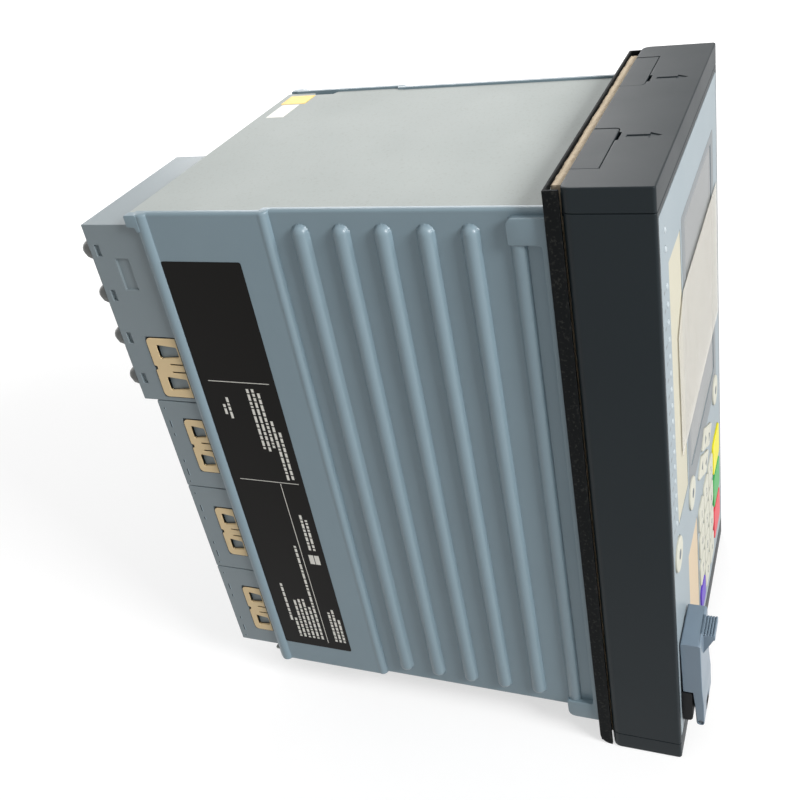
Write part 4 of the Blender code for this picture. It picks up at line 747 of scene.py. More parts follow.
class Trees:
    """The node trees of the shapes that repeat on the relay.

    The wall's rows lie close at its ends, where the ribs end in domes: a quarter of them do for
    the plain middle.
    """

    MIDDLE_ROWS = 0.25
    MIDDLE_HEIGHT = 0.875

    @staticmethod
    def slotted_screws() -> NodeGraph:
        """Screw heads with a driver's slot that face the rear, one on each point.

        Returns:
            The tree.
        """
        tree = NodeGraph("slotted_screws", {"Radius": 0.0017, "Height": 0.0012, "Slot": 0.0005})
        half = tree["Height"] / 2.0
        body = tree.node("GeometryNodeMeshCylinder", Vertices=16, Radius=tree["Radius"], Depth=tree["Height"])
        size = tree.vector(tree["Radius"] * 3.0, tree["Slot"], tree["Height"])
        slot = tree.node("GeometryNodeMeshCube", Size=size)
        up = tree.vector(0.0, 0.0, half)
        raised = tree.node("GeometryNodeTransform", Geometry=slot.outputs[0], Translation=up)
        head = tree.node("GeometryNodeMeshBoolean", {"operation": "DIFFERENCE"})
        tree.feed(head.inputs["Mesh 1"], body.outputs[0])
        tree.feed(head.inputs["Mesh 2"], raised.outputs[0])
        turned = tree.node(
            "GeometryNodeTransform",
            Geometry=head.outputs[0],
            Rotation=(-math.pi / 2, 0.6, 0.0),
            Translation=tree.vector(0.0, half, 0.0),
        )
        tree.finish(tree.on_points(turned.outputs[0]))
        return tree

    @staticmethod
    def lamp_lenses() -> NodeGraph:
        """Shallow domes that face the front, one on each point.

        Returns:
            The tree.
        """
        tree = NodeGraph("lamp_lenses", {"Radius": 0.00125, "Height": 0.0007})
        ball = tree.node("GeometryNodeMeshUVSphere", Segments=14, Rings=8, Radius=tree["Radius"])
        flat = tree.vector(1.0, tree["Height"] / tree["Radius"], 1.0)
        lens = tree.node("GeometryNodeTransform", Geometry=ball.outputs[0], Scale=flat)
        smooth = tree.node("GeometryNodeSetShadeSmooth", Geometry=lens.outputs[0])
        tree.finish(tree.on_points(smooth.outputs[0]))
        return tree

    @staticmethod
    def print_bars() -> NodeGraph:
        """Thin printed bars that stand for words, one on each point, as long as the point says.

        Returns:
            The tree.
        """
        tree = NodeGraph("print_bars", {"Length": 0.001, "Width": 0.0008, "Thickness": 0.00006})
        share = tree.node("GeometryNodeInputNamedAttribute", {"data_type": "FLOAT"}, Name="stretch")
        size = tree.vector(tree["Length"], tree["Width"], tree["Thickness"])
        bar = tree.node("GeometryNodeMeshCube", Size=size)
        start = tree.vector(tree["Length"] / 2.0, 0.0, 0.0)
        begun = tree.node("GeometryNodeTransform", Geometry=bar.outputs[0], Translation=start)
        stretch = tree.vector(share.outputs[0], 1.0, 1.0)
        tree.finish(tree.on_points(begun.outputs[0], Scale=stretch))
        return tree

    @staticmethod
    def grip_ribs() -> NodeGraph:
        """Round ribs that lie across a grip, one on each point.

        Returns:
            The tree.
        """
        tree = NodeGraph("grip_ribs", {"Radius": 0.0003, "Length": 0.0106})
        rod = tree.node("GeometryNodeMeshCylinder", Vertices=12, Radius=tree["Radius"], Depth=tree["Length"])
        across = tree.node("GeometryNodeTransform", Geometry=rod.outputs[0], Rotation=(0.0, math.pi / 2, 0.0))
        tree.finish(tree.on_points(across.outputs[0]))
        return tree

    @staticmethod
    def ribbed_wall() -> NodeGraph:
        """The right side wall: ribs, bead, label pad and rail raised on a closed slab.

        The slab is a cube of one unit that the rule lays out, so it needs a single point.

        Returns:
            The tree.
        """
        tree = NodeGraph(
            "ribbed_wall",
            {
                "Front": 0.0, "Depth": 0.16, "Low": 0.0153, "Height": 0.241,
                "Face": 0.0696, "Thickness": 0.0026, "First": 0.0629, "Pitch": 0.01615,
                "Count": 5, "Half width": 0.00325, "Rib height": 0.003,
                "End margin": 0.0055, "Bead place": 0.1413, "Bead radius": 0.0024, "Pad front": 0.1422,
                "Pad height": 0.0022, "Rail radius": 0.0030, "Rail sink": 0.0014, "Rounding": 0.001,
                "Across": 400, "Along": 110,
            },
        )
        slab = tree.node("GeometryNodeMeshCube", Size=(1.0, 1.0, 1.0))
        for axis, count in (("X", 2), ("Y", tree["Across"]), ("Z", tree["Along"])):
            tree.feed(slab.inputs[f"Vertices {axis}"], count)
        place = tree.node("ShaderNodeSeparateXYZ", Vector=tree.node("GeometryNodeInputPosition").outputs[0])
        unit_x, unit_y, unit_z = (Level(tree, socket) for socket in place.outputs)
        y = tree["Front"] + (unit_y + 0.5) * tree["Depth"]
        from_middle = tree.math("ABSOLUTE", unit_z) * 2.0
        slope = (1 - Trees.MIDDLE_HEIGHT) / (1 - Trees.MIDDLE_ROWS)
        dense = (from_middle - Trees.MIDDLE_ROWS) * slope + Trees.MIDDLE_HEIGHT
        share = tree.math("MINIMUM", from_middle * (Trees.MIDDLE_HEIGHT / Trees.MIDDLE_ROWS), dense)
        along = tree.math("SIGN", unit_z) * share * tree["Height"] / 2.0
        z = tree["Low"] + along + tree["Height"] / 2.0
        to_end = tree["Height"] / 2.0 - tree.math("ABSOLUTE", along)
        index = tree.math("ROUND", (y - tree["First"]) / tree["Pitch"])
        last = tree["Count"] - 1.0
        index = tree.math("MINIMUM", tree.math("MAXIMUM", index, 0.0), last)
        aside = y - tree["First"] - index * tree["Pitch"]
        beyond = tree.math("MAXIMUM", tree["End margin"] + tree["Half width"] - to_end, 0.0)
        off = (aside * aside + beyond * beyond) / (tree["Half width"] * tree["Half width"])
        rib = tree.root_of(tree.math("SUBTRACT", 1.0, off)) * tree["Rib height"]
        from_bead = y - tree["Bead place"]
        bead = tree.root_of(tree["Bead radius"] * tree["Bead radius"] - from_bead * from_bead)
        on_pad = tree.math("GREATER_THAN", y, tree["Pad front"])
        pad = tree["Pad height"] * on_pad
        from_rail = y - (tree["Front"] + tree["Depth"] - tree["Rail radius"])
        rail = tree.root_of(tree["Rail radius"] * tree["Rail radius"] - from_rail * from_rail)
        rail = rail + tree["Pad height"] - tree["Rail sink"]
        raised = tree.math("MAXIMUM", tree.math("MAXIMUM", rib, bead), pad)
        lift = tree.math("MAXIMUM", raised, rail * on_pad)
        short = tree.math("MAXIMUM", tree.math("SUBTRACT", 1.0, to_end / tree["Rounding"]), 0.0)
        turned = tree.math("SUBTRACT", 1.0, tree.root_of(tree.math("SUBTRACT", 1.0, short * short)))
        outer = tree["Face"] + lift - turned * tree["Rounding"]
        inner = tree["Face"] - tree["Thickness"] + pad
        outside = tree.math("GREATER_THAN", unit_x, 0.0)
        x = inner + (outer - inner) * outside
        laid = tree.node("GeometryNodeSetPosition", Geometry=slab.outputs[0], Position=tree.vector(x, y, z))
        smooth = tree.node("GeometryNodeSetShadeSmooth", Geometry=laid.outputs[0])
        tree.finish(smooth.outputs[0])
        return tree


@dataclass
class SubAssembly:
    """A part of the relay: it builds its pieces and dresses them."""

    frame: Frame

    def add(
        self,
        name: str,
        mesh: Mesh,
        body: str,
        finish: Finish,
        replaces: Sequence[str] = (),
        smooth: float | None = 30,
        level: bool = False,
    ) -> Object:
        """Puts a finished mesh into the scene as one piece.

        Args:
            name: the piece's name.
            mesh: its mesh, in the row frame.
            body: the body that it rides on.
            finish: its finish, where the mesh has none of its own.
            replaces: the nodes that it stands for.
            smooth: the angle over which an edge stays sharp, in degrees, or None to leave the shading.
            level: whether its large faces are shaded flat up to the roundings beside them.

        Returns:
            The piece's object.
        """
        piece = bpy.data.objects.new(name, mesh)
        bpy.context.scene.collection.objects.link(piece)
        mesh.name = name
        if not mesh.materials:
            mesh.materials.append(finish.material())
        if smooth is not None:
            mesh.shade_flat()
            mesh.polygons.foreach_set("use_smooth", [True] * len(mesh.polygons))
            mesh.set_sharp_from_angle(angle=math.radians(smooth))
        if level:
            self.level_faces(piece)
        if replaces:
            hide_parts(*replaces)
        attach(piece, body)
        log.info("%s: %d faces on %s", name, len(piece.data.polygons), body)
        return piece

    @staticmethod
    def level_faces(piece: Object) -> None:
        """Weights a piece's normals by the size of its faces, and leaves it a plain mesh.

        Args:
            piece: the piece.
        """
        modifier = piece.modifiers.new("level_faces", "WEIGHTED_NORMAL")
        modifier.weight = 100
        modifier.keep_sharp = True
        graph = bpy.context.evaluated_depsgraph_get()
        levelled = bpy.data.meshes.new_from_object(
            piece.evaluated_get(graph), preserve_all_data_layers=True, depsgraph=graph
        )
        rough = piece.data
        piece.modifiers.remove(modifier)
        piece.data = levelled
        bpy.data.meshes.remove(rough)

    def soften(self, name: str, finish: Finish, width: float, segments: int = 2) -> Object:
        """Stands a rounded copy of a frame node in its place.

        Args:
            name: the node's name.
            finish: the copy's finish.
            width: the reach of the roundings.
            segments: the steps in each rounding.

        Returns:
            The copy's object.
        """
        mesh = Workshop.softened(self.frame.node(name), width, segments)
        return self.add(f"{name}_shape", mesh, self.frame.body_of(name), finish, [name], 50, level=True)

    def soften_all(self, rows: Iterable[tuple[str, Finish, float]]) -> None:
        """Softens several nodes, each with its finish and the reach of its roundings."""
        for name, finish, width in rows:
            self.soften(name, finish, width)

    def dress(self, name: str, finish: Finish) -> None:
        """Gives a frame node that keeps its own shape a better finish.

        Args:
            name: the node's name.
            finish: its finish.
        """
        node = self.frame.node(name)
        for slot in node.material_slots:
            slot.material = finish.material()


@dataclass
class SideWalls(SubAssembly):
    """The two ribbed side walls, with the collar behind the flange and the lobe at the rear."""

    thickness: float = 0.0026
    face: float = 0.0696
    front: float = 0.0359
    rear: float = 0.1962
    low: float = 0.0161
    top: float = 0.2569
    first_rib: float = 0.0629
    bead: float = 0.1413
    pad_front: float = 0.1422
    crest: float = 0.0734
    collar_low: float = 0.0121
    collar_top: float = 0.2546
    collar_depth: float = 0.0138
    collar_strip: float = 0.0020
    collar_tab: float = 0.0098
    collar_height: float = 0.0028
    collar_bends: tuple[float, ...] = (0.0006, 0.0034, 0.0009, 0.0016, 0.0016, 0.0009, 0.0030, 0.0006)
    collar_edge: float = 0.0005
    sink: float = 0.0003
    rod_place: float = 0.0465
    rod_height: float = 0.0023
    rod_half_width: float = 0.0029
    lobe_rear: float = 0.1997
    lobe_height: float = 0.0050
    lobe_length: float = 0.0056
    lobe_foot: float = 0.0022
    lobe_bend: float = 0.0009
    lobe_edge: float = 0.0011
    lobe_sink: float = 0.0006

    def collar(self) -> Mesh:
        """The collar behind the flange: a strip with a tab at either end, on the right side.

        Returns:
            A closed mesh.
        """
        rear = self.front + self.collar_depth
        strip = self.front + self.collar_strip
        low = self.collar_low + self.collar_tab
        top = self.collar_top - self.collar_tab
        corners = [
            (self.front, self.collar_low), (rear, self.collar_low), (rear, low), (strip, low),
            (strip, top), (rear, top), (rear, self.collar_top), (self.front, self.collar_top),
        ]
        outline = Workshop.rounded([(self.frame.depth(y), z) for y, z in corners], self.collar_bends)
        height = self.thickness + self.collar_height - self.sink
        mesh = Workshop.prism(outline, height, self.collar_edge)
        return Workshop.to_right(mesh, self.face - self.thickness + self.sink)

    def collar_rod(self) -> Mesh:
        """The round bead that joins the collar's two tabs.

        Returns:
            A closed mesh.
        """
        half = self.collar_tab / 2
        ends = (self.collar_low + half, self.collar_top - half)
        shape = bmesh.new()
        bmesh.ops.create_uvsphere(shape, u_segments=32, v_segments=20, radius=1)
        middle = sum(ends) / 2
        reach = (ends[1] - ends[0]) / 2
        bend = self.rod_half_width
        for vert in shape.verts:
            x, y, z = vert.co
            shift = math.copysign(reach - bend, z) if abs(z) > 1e-6 else 0
            vert.co = (self.face + x * self.rod_height, self.frame.depth(self.rod_place) + y * bend, 0)
            vert.co.z = middle + shift + z * bend
        return Workshop.mesh_of(shape, "collar_rod")

    def lobe(self) -> Mesh:
        """The lobe at the top of the rail, which runs down into the rail in a hollow curve.

        Returns:
            A closed mesh.
        """
        low = self.top - self.lobe_height
        foot = low - self.lobe_foot
        top = self.top - 0.0001
        root = self.rear - 0.0004
        front = self.lobe_rear - self.lobe_length
        corners = [
            (front, foot), (root, foot), (root + 0.0003, low - 0.0001), (self.lobe_rear, low),
            (self.lobe_rear, top), (front, top),
        ]
        outline = Workshop.rounded([(self.frame.depth(y), z) for y, z in corners], self.lobe_bend)
        inner = self.face + self.lobe_sink
        mesh = Workshop.prism(outline, self.crest - inner, self.lobe_edge, 4)
        return Workshop.to_right(mesh, inner)

    def build(self) -> None:
        """Builds both walls from the one rule."""
        wall = Trees.ribbed_wall()
        depth = self.frame.depth
        for side in Side:
            slab = wall.run(
                [(0, 0, 0)], HOUSING, Front=depth(self.front), Depth=self.rear - self.front, Low=self.low,
                Height=self.top - self.low, Face=self.face, First=depth(self.first_rib),
                Bead_place=depth(self.bead), Pad_front=depth(self.pad_front),
            )
            name = f"{side.name.lower()}_side_wall"
            parts = (slab, self.collar(), self.collar_rod(), self.lobe())
            mesh = Workshop.joined([(part, HOUSING) for part in parts], name)
            if side is Side.LEFT:
                mesh.transform(Matrix.Scale(-1, 4, (1, 0, 0)))
                mesh.flip_normals()
            self.add(f"{name}_shape", mesh, Body.FIXED.value, HOUSING, [name], 40)


@dataclass
class Enclosure(SubAssembly):
    """The sheets above and below, the panel behind and the boards inside."""

    def build(self) -> None:
        """Softens the sheets and dresses the boards."""
        self.soften_all((
            ("top_cover", SHEET, 0.0003), ("bottom_cover", SHEET, 0.0003), ("rear_panel", SHEET, 0.0002),
        ))
        for name in ("front_board", "io_board", "power_board", "processor_board"):
            self.dress(name, BOARD)


@dataclass
class Bezel(SubAssembly):
    """The dark bezel with its two screw covers, and the steel flange behind it."""

    edge: float = 0.00025
    back: float = 0.0300
    reach: float = 0.00008
    return_inner: float = 0.0728

    def build(self) -> None:
        """Softens the moulded pieces, and closes the flange's side returns up to the bezel's back."""
        self.soften("front_frame", BEZEL, self.edge, 3)
        self.soften("top_screw_cover", BEZEL, self.edge / 2)
        self.soften("bottom_screw_cover", BEZEL, self.edge / 2)
        flange = self.soften("mounting_flange", FLANGE, 0.00012, 1)
        seat = self.frame.depth(self.back)
        for vert in flange.data.vertices:
            if abs(vert.co.x) > self.return_inner and vert.co.y < seat + 2 * self.reach:
                vert.co.y = min(vert.co.y, seat + self.reach)


@dataclass
class Gasket(SubAssembly):
    """The foam gasket between bezel and flange, cut with a rough edge."""

    front: float = 0.0303
    rear: float = 0.0343
    half_width: float = 0.0686
    low: float = 0.0015
    top: float = 0.2645
    inner_half: float = 0.0620
    inner_low: float = 0.0260
    inner_top: float = 0.2480
    bulge: float = 0.0005
    pull: float = 0.0007
    roughness: float = 0.000495
    rough_layers: tuple[tuple[int, float], ...] = ((900, 0.6), (260, 0.7))
    step: float = 0.0010
    layers: int = 6

    def outline(self, half: float, low: float, top: float, counts: tuple[int, int]) -> list[Point]:
        """A rectangle as evenly spaced points, with the same count whatever its size.

        Args:
            half: half its width.
            low: its lowest Z.
            top: its highest Z.
            counts: the number of points along its width and along its height.

        Returns:
            The points in order.
        """
        points = []
        corners = Workshop.rectangle(-half, half, low, top)
        for index, corner in enumerate(corners):
            after = corners[(index + 1) % 4]
            count = counts[index % 2]
            for step in range(count):
                share = step / count
                points.append(tuple(a + (b - a) * share for a, b in zip(corner, after)))
        return points

    def build(self) -> None:
        counts = (int(2 * self.half_width / self.step), int((self.top - self.low) / self.step))
        outer = self.outline(self.half_width, self.low, self.top, counts)
        inner = self.outline(self.inner_half, self.inner_low, self.inner_top, counts)
        middle = (self.low + self.top) / 2
        shape = bmesh.new()
        rows = []
        for (outer_x, outer_z), (inner_x, inner_z) in zip(outer, inner):
            section = []
            for index in range(self.layers + 1):
                share = index / self.layers
                bulge = self.bulge * (1 - (2 * share - 1) ** 4)
                depth = self.frame.depth(self.front + (self.rear - self.front) * share)
                place = Vector((outer_x, depth, outer_z))
                rough = sum(noise.noise(place * scale) * share for scale, share in self.rough_layers)
                pull = max(0.0, self.pull - bulge + self.roughness * max(-1.0, min(1.0, rough)))
                at_side = math.isclose(abs(outer_x), self.half_width, abs_tol=1e-6)
                at_end = min(abs(outer_z - self.low), abs(outer_z - self.top)) < 1e-6
                x = outer_x - math.copysign(pull, outer_x) * at_side
                z = outer_z - math.copysign(pull, outer_z - middle) * at_end
                section.append(shape.verts.new((x, depth, z)))
            section.append(shape.verts.new((inner_x, self.frame.depth(self.rear), inner_z)))
            section.append(shape.verts.new((inner_x, self.frame.depth(self.front), inner_z)))
            rows.append(section)
        for here, there in zip(rows, rows[1:] + rows[:1]):
            for index in range(len(here)):
                after = (index + 1) % len(here)
                shape.faces.new((here[index], here[after], there[after], there[index]))
        bmesh.ops.recalc_face_normals(shape, faces=shape.faces)
        mesh = Workshop.mesh_of(shape, "foam")
        piece = self.add("foam_gasket_ring", mesh, Body.FIXED.value, FOAM, ["foam_gasket"], 50)


@dataclass
class FrontPanel(SubAssembly):
    """The pale front panel, with its printed fields, label cards, lamps and display."""

    lamp_x: float = -0.063
    lamp_first: float = 0.124
    lamp_pitch: float = 0.0068
    lamp_count: int = 16
    status: tuple[float, float] = (0.2395, 0.2463)
    lens_place: float = 0.0002
    mark_offset: float = 0.0058
    film_sides: tuple[float, float, float, float] = (-0.046, 0.067, 0.143, 0.208)
    film_cut: tuple[float, float] = (0.013, 0.012)
    film_grid: tuple[int, int] = (60, 100)
    film_gap: float = 0.00046
    film_thickness: float = 0.00012
    film_lift: float = 0.00012
    film_wave: tuple[float, float] = (30, 42)
    film_crease: tuple[float, float] = (90, 14)
    surround_bend: float = 0.002
    window_bend: float = 0.001
    mark_size: tuple[float, float] = (0.0022, 0.0010)
    surround_sides: tuple[float, float, float, float] = (-0.0300, 0.0590, 0.1085, 0.2350)
    window_sides: tuple[float, float, float, float] = (-0.0232, 0.0522, 0.1198, 0.2312)
    print_height: float = 0.00006

    def film(self) -> Mesh:
        """The loose film over the display, which lifts a little off the panel in waves.

        Returns:
            A closed mesh.
        """
        rightmost, low, top = self.film_sides[1:]
        wide, high = self.film_cut
        rows, columns = self.film_grid
        front = np.zeros((rows, columns, 3))
        back = np.zeros((rows, columns, 3))
        for row in range(rows):
            z = low + (top - low) * row / (rows - 1)
            left = self.film_sides[0] + max(0.0, z - (top - high)) / high * wide
            for column in range(columns):
                x = left + (rightmost - left) * column / (columns - 1)
                wave = noise.noise(Vector((x * self.film_wave[0], z * self.film_wave[1], 2.0))) * 0.5 + 0.5
                place = Vector((x * self.film_crease[0], z * self.film_crease[1], 5.0))
                crease = noise.noise(place) * 0.25
                lift = self.film_lift * min(1.0, max(0.0, wave + crease)) - self.film_gap
                front[row, column] = (x, self.frame.depth(lift - self.film_thickness), z)
                back[row, column] = (x, self.frame.depth(lift), z)
        return Workshop.slab(front, back, "film")

    def surround(self) -> Mesh:
        """The printed field round the display, with the display's window left open.

        Returns:
            A closed mesh.
        """
        loops = [
            Workshop.rounded(Workshop.rectangle(*self.surround_sides), self.surround_bend),
            Workshop.rounded(Workshop.rectangle(*self.window_sides), self.window_bend),
        ]
        shape = bmesh.new()
        (outer, hole), (outer_back, hole_back) = (
            [[shape.verts.new((x, self.frame.depth(place), z)) for x, z in loop] for loop in loops]
            for place in (-self.print_height, 0.0)
        )
        for index in range(len(outer)):
            after = (index + 1) % len(outer)
            shape.faces.new((outer[index], outer[after], hole[after], hole[index]))
            shape.faces.new((outer_back[index], hole_back[index], hole_back[after], outer_back[after]))
            shape.faces.new((outer[index], outer_back[index], outer_back[after], outer[after]))
            shape.faces.new((hole[index], hole[after], hole_back[after], hole_back[index]))
        bmesh.ops.recalc_face_normals(shape, faces=shape.faces)
        return Workshop.mesh_of(shape, "surround")

    def lenses(self, name: str, heights: Iterable[float]) -> None:
        """Lamp lenses in the lamps' column, at these heights."""
        places = [(self.lamp_x, self.frame.depth(self.lens_place), z) for z in heights]
        self.add(name, Trees.lamp_lenses().run(places, LENS), Body.FIXED.value, LENS, smooth=None)

    def marks(self, heights: Iterable[float]) -> None:
        """A short printed bar beside each lamp.

        Args:
            heights: the lamps' heights.
        """
        places = [(self.lamp_x - self.mark_offset, z, 0) for z in heights]
        length, width = self.mark_size
        bars = Trees.print_bars().run(places, DARK_FIELD, [1.0] * len(places), Length=length, Width=width)
        Workshop.to_front(bars, (0, self.frame.depth(0.0), 0))
        self.add("lamp_marks", bars, Body.FIXED.value, DARK_FIELD, smooth=None)

    def build(self) -> None:
        """Builds the panel and everything that lies on it."""
        self.dress("front_panel", PANEL)
        self.add("display_surround", self.surround(), Body.FIXED.value, DARK_FIELD, smooth=None)
        self.soften("display_window", GLASS, 0.0002)
        self.dress("display_module", BLACK)
        self.add("display_film_sheet", self.film(), Body.FIXED.value, FILM, ["display_film"], 50)
        self.soften("led_label_strip", STRIP, 0.0001, 1)
        self.soften("key_label_strip", KEY_STRIP, 0.0001, 1)
        heights = [self.lamp_first + index * self.lamp_pitch for index in range(self.lamp_count)]
        self.dress("led_light_guide", LENS)
        self.lenses("lamp_lenses", heights)
        self.lenses("status_lenses", self.status)
        self.marks(heights)


@dataclass
class Keys(SubAssembly):
    """The keys of the front, each on its own body, with the digits and arrows on their caps."""

    colours: dict[str, Finish] = field(
        default_factory=lambda: {
            "violet_key": VIOLET_KEY, "yellow_key": YELLOW_KEY, "green_key": GREEN_KEY, "red_key": RED_KEY,
        }
    )
    round_keys: tuple[str, ...] = ("led_reset_key", "softkey_left", "softkey_right")
    arrows: tuple[str, ...] = ("nav_key_up", "nav_key_left", "nav_key_down", "nav_key_right")
    arrow: tuple[Point, ...] = ((-0.0024, -0.0013), (0.0024, -0.0013), (0.0, 0.0019))
    digit_size: float = 0.0062
    disc_radius: float = 0.0021
    print_height: float = 0.00006

    def finish_of(self, name: str) -> Finish:
        """The finish of a key by its name."""
        return self.colours.get(name, CREAM_KEY)

    def legend(self, name: str, mesh: Mesh) -> None:
        """Lays a flat legend on a key's cap, on the key's own body.

        Args:
            name: the key's name.
            mesh: the legend, about its own centre.
        """
        low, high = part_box(name)
        Workshop.to_front(mesh, ((low.x + high.x) / 2, low.y, (low.z + high.z) / 2))
        piece = self.add(f"{name}_legend", mesh, self.frame.body_of(name), INK, smooth=None)

    def digit(self, text: str) -> Mesh:
        """A digit as thin raised print about its own centre.

        Args:
            text: the digit.

        Returns:
            Its mesh.
        """
        curve = bpy.data.curves.new("digit", "FONT")
        curve.body = text
        curve.size = self.digit_size
        curve.align_x = "CENTER"
        curve.align_y = "CENTER"
        curve.extrude = self.print_height / 2
        curve.resolution_u = 3
        letter = bpy.data.objects.new("digit", curve)
        bpy.context.scene.collection.objects.link(letter)
        graph = bpy.context.evaluated_depsgraph_get()
        mesh = bpy.data.meshes.new_from_object(letter.evaluated_get(graph))
        bpy.data.objects.remove(letter)
        return mesh

    def build(self) -> None:
        """Softens every key and prints its legend."""
        names = [name for name in self.frame.loaded["nodes"] if "key" in name and name != "key_label_strip"]
        for name in sorted(names):
            self.soften(name, self.finish_of(name), 0.0004, 3)
        for name in (name for name in names if name.startswith("keypad_key_")):
            number = int(name.rsplit("_", 1)[1])
            self.legend(name, self.digit({11: "0", 12: "+"}.get(number, str(number))))
        for turn, name in enumerate(self.arrows):
            spun = Matrix.Rotation(turn * math.pi / 2, 2)
            corners = [tuple(spun @ Vector(point)) for point in self.arrow]
            self.legend(name, Workshop.prism(corners, self.print_height))
        angles = np.linspace(0, 6.0, 20)
        disc = [(math.cos(angle) * self.disc_radius, math.sin(angle) * self.disc_radius) for angle in angles]
        for name in self.round_keys:
            self.legend(name, Workshop.prism(disc, self.print_height))


@dataclass
class PortFlap(SubAssembly):
    """The hinged flap with its ribbed grip, its hinge block and the socket behind it."""

    grip_reach: float = 0.0134
    grip_top: float = 0.0660
    grip_left: float = -0.0630
    grip_right: float = -0.0520
    rib_radius: float = 0.0003
    rib_first: float = 0.00033
    rib_pitch: float = 0.0011
    rib_count: int = 4
    rib_sink: float = 0.0002
    rib_margin: float = 0.0006

    def build(self) -> None:
        """Softens the flap and the block, and lays the grip's ribs."""
        self.soften("usb_flap", FLAP, 0.0003, 3)
        self.soften("usb_hinge_block", BLACK, 0.0002)
        self.dress("usb_hinge_pin", PIN)
        self.soften("usb_socket", METAL, 0.0001, 1)
        middle = (self.grip_left + self.grip_right) / 2
        length = self.grip_right - self.grip_left - self.rib_margin
        first = self.rib_first - self.grip_reach
        depths = [self.frame.depth(first + index * self.rib_pitch) for index in range(self.rib_count)]
        places = [(middle, depth, self.grip_top - self.rib_sink) for depth in depths]
        ribs = Trees.grip_ribs().run(places, FLAP, Length=length, Radius=self.rib_radius)
        self.add("grip_ribs", ribs, Body.FLAP.value, FLAP, smooth=40)


@dataclass
class Terminals(SubAssembly):
    """The terminal blocks on the rear, with their screws and the brackets that release them."""

    voltage_rear: float = 0.2171
    current_rear: float = 0.2233
    outer: float = -0.0710
    inner: float = -0.0003
    spans: tuple[Span, ...] = ((0.0245, 0.0734), (0.0739, 0.1226), (0.1231, 0.1695))
    rows: int = 7
    row_margin: float = 0.0116
    screw_offset: float = 0.0260
    screw_sink: float = 0.0026
    seam: float = 0.0003
    rim: float = 0.0012
    seam_sink: float = 0.00022
    slots: tuple[Span, ...] = (
        (0.045, 0.0007), (0.13, 0.0036), (0.29, 0.0014), (0.60, 0.0014), (0.70, 0.0036), (0.91, 0.0007),
    )
    slot_inset: float = 0.0030
    slot_step: float = 0.0005
    slot_short: float = 0.0010
    slot_unit: float = 0.001
    slot_width: float = 0.00045
    print_height: float = 0.00006

    def domes(self, piece: Object) -> None:
        """Gives the round screw caps on the current block their own dark finish.

        Args:
            piece: the block.
        """
        piece.data.materials.append(HEAD.material())
        limit = self.frame.depth(self.current_rear) + 0.00015
        for face in piece.data.polygons:
            if face.center.y > limit:
                face.material_index = 1

    def latch_marks(self) -> None:
        """Lays painted shade bars for the small latch slots along the outer face of each voltage block, each
        with a painted highlight bar for its lit edge.
        """
        shapes = Trees.print_bars()
        # Flat dark bars are painted shade for each slot, and light bars beside them are a painted highlight
        # for its lit edge.
        for name, finish, shift in (("latch_slot_painted_shade", SHADE, 0.0), ("latch_edge_painted_highlight", LIT_EDGE, -self.slot_step)):
            places = []
            lengths = []
            for low, top in self.spans:
                for share, length in self.slots:
                    aside = shift + (length < self.slot_short) * self.slot_step
                    depth = self.frame.depth(self.voltage_rear - self.slot_inset + aside)
                    places.append((low + (top - low) * share, depth, 0))
                    lengths.append(length / self.slot_unit)
            mesh = shapes.run(
                places, finish, lengths,
                Length=self.slot_unit, Width=self.slot_width, Thickness=self.print_height,
            )
            self.add(name, Workshop.to_left(mesh, self.outer), Body.FIXED.value, finish, smooth=None)

    def seat(self, name: str) -> None:
        """Paints the shade in the narrow seam round a bracket with a slightly larger black copy that lies
        under it.

        Args:
            name: the bracket's name.
        """
        mesh = self.frame.node(name).data.copy()
        mesh.materials.clear()
        low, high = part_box(name)
        for vert in mesh.vertices:
            vert.co.x += self.seam_sink
            for axis in (1, 2):
                if vert.co[axis] - low[axis] < self.rim:
                    vert.co[axis] -= self.seam
                elif high[axis] - vert.co[axis] < self.rim:
                    vert.co[axis] += self.seam
        # The black copy shows only as a thin dark outline: painted shade in the gap round the bracket.
        self.add(f"{name}_seam", mesh, self.frame.body_of(name), BLACK, smooth=30)

    def build(self) -> None:
        """Softens the blocks and the brackets, and fits the wire screws."""
        centre = (self.outer + self.inner) / 2
        points = []
        seat = self.frame.depth(self.voltage_rear - self.screw_sink)
        for number, (low, top) in zip((3, 2, 1), self.spans):
            self.soften(f"voltage_terminal_{number}", BLOCK, 0.00025)
            pitch = (top - low - self.row_margin) / (self.rows - 1)
            for row in range(self.rows):
                z = (low + top) / 2 + (row - (self.rows - 1) / 2) * pitch
                points += [(centre + side * self.screw_offset, seat, z) for side in (-1, 1)]
        screws = Trees.slotted_screws().run(points, STEEL, Radius=0.00165, Height=0.0014)
        self.add("wire_screws", screws, Body.FIXED.value, STEEL, smooth=35)
        self.domes(self.soften("current_terminal", BLOCK, 0.00025))
        for number in range(1, 5):
            self.soften(f"release_bracket_{number}", BRACKET, 0.00018)
            self.seat(f"release_bracket_{number}")
        self.latch_marks()


@dataclass
class RearFittings(SubAssembly):
    """The supply terminal, the port, the earth screw and the blank covers on the rear."""

    def build(self) -> None:
        """Softens the fittings."""
        self.soften_all((
            ("supply_terminal", BLACK, 0.0002), ("network_port", METAL, 0.00015),
            ("earth_screw", METAL, 0.0001), ("module_cover_lower", SHEET, 0.00015),
            ("module_cover_upper", SHEET, 0.00015),
        ))


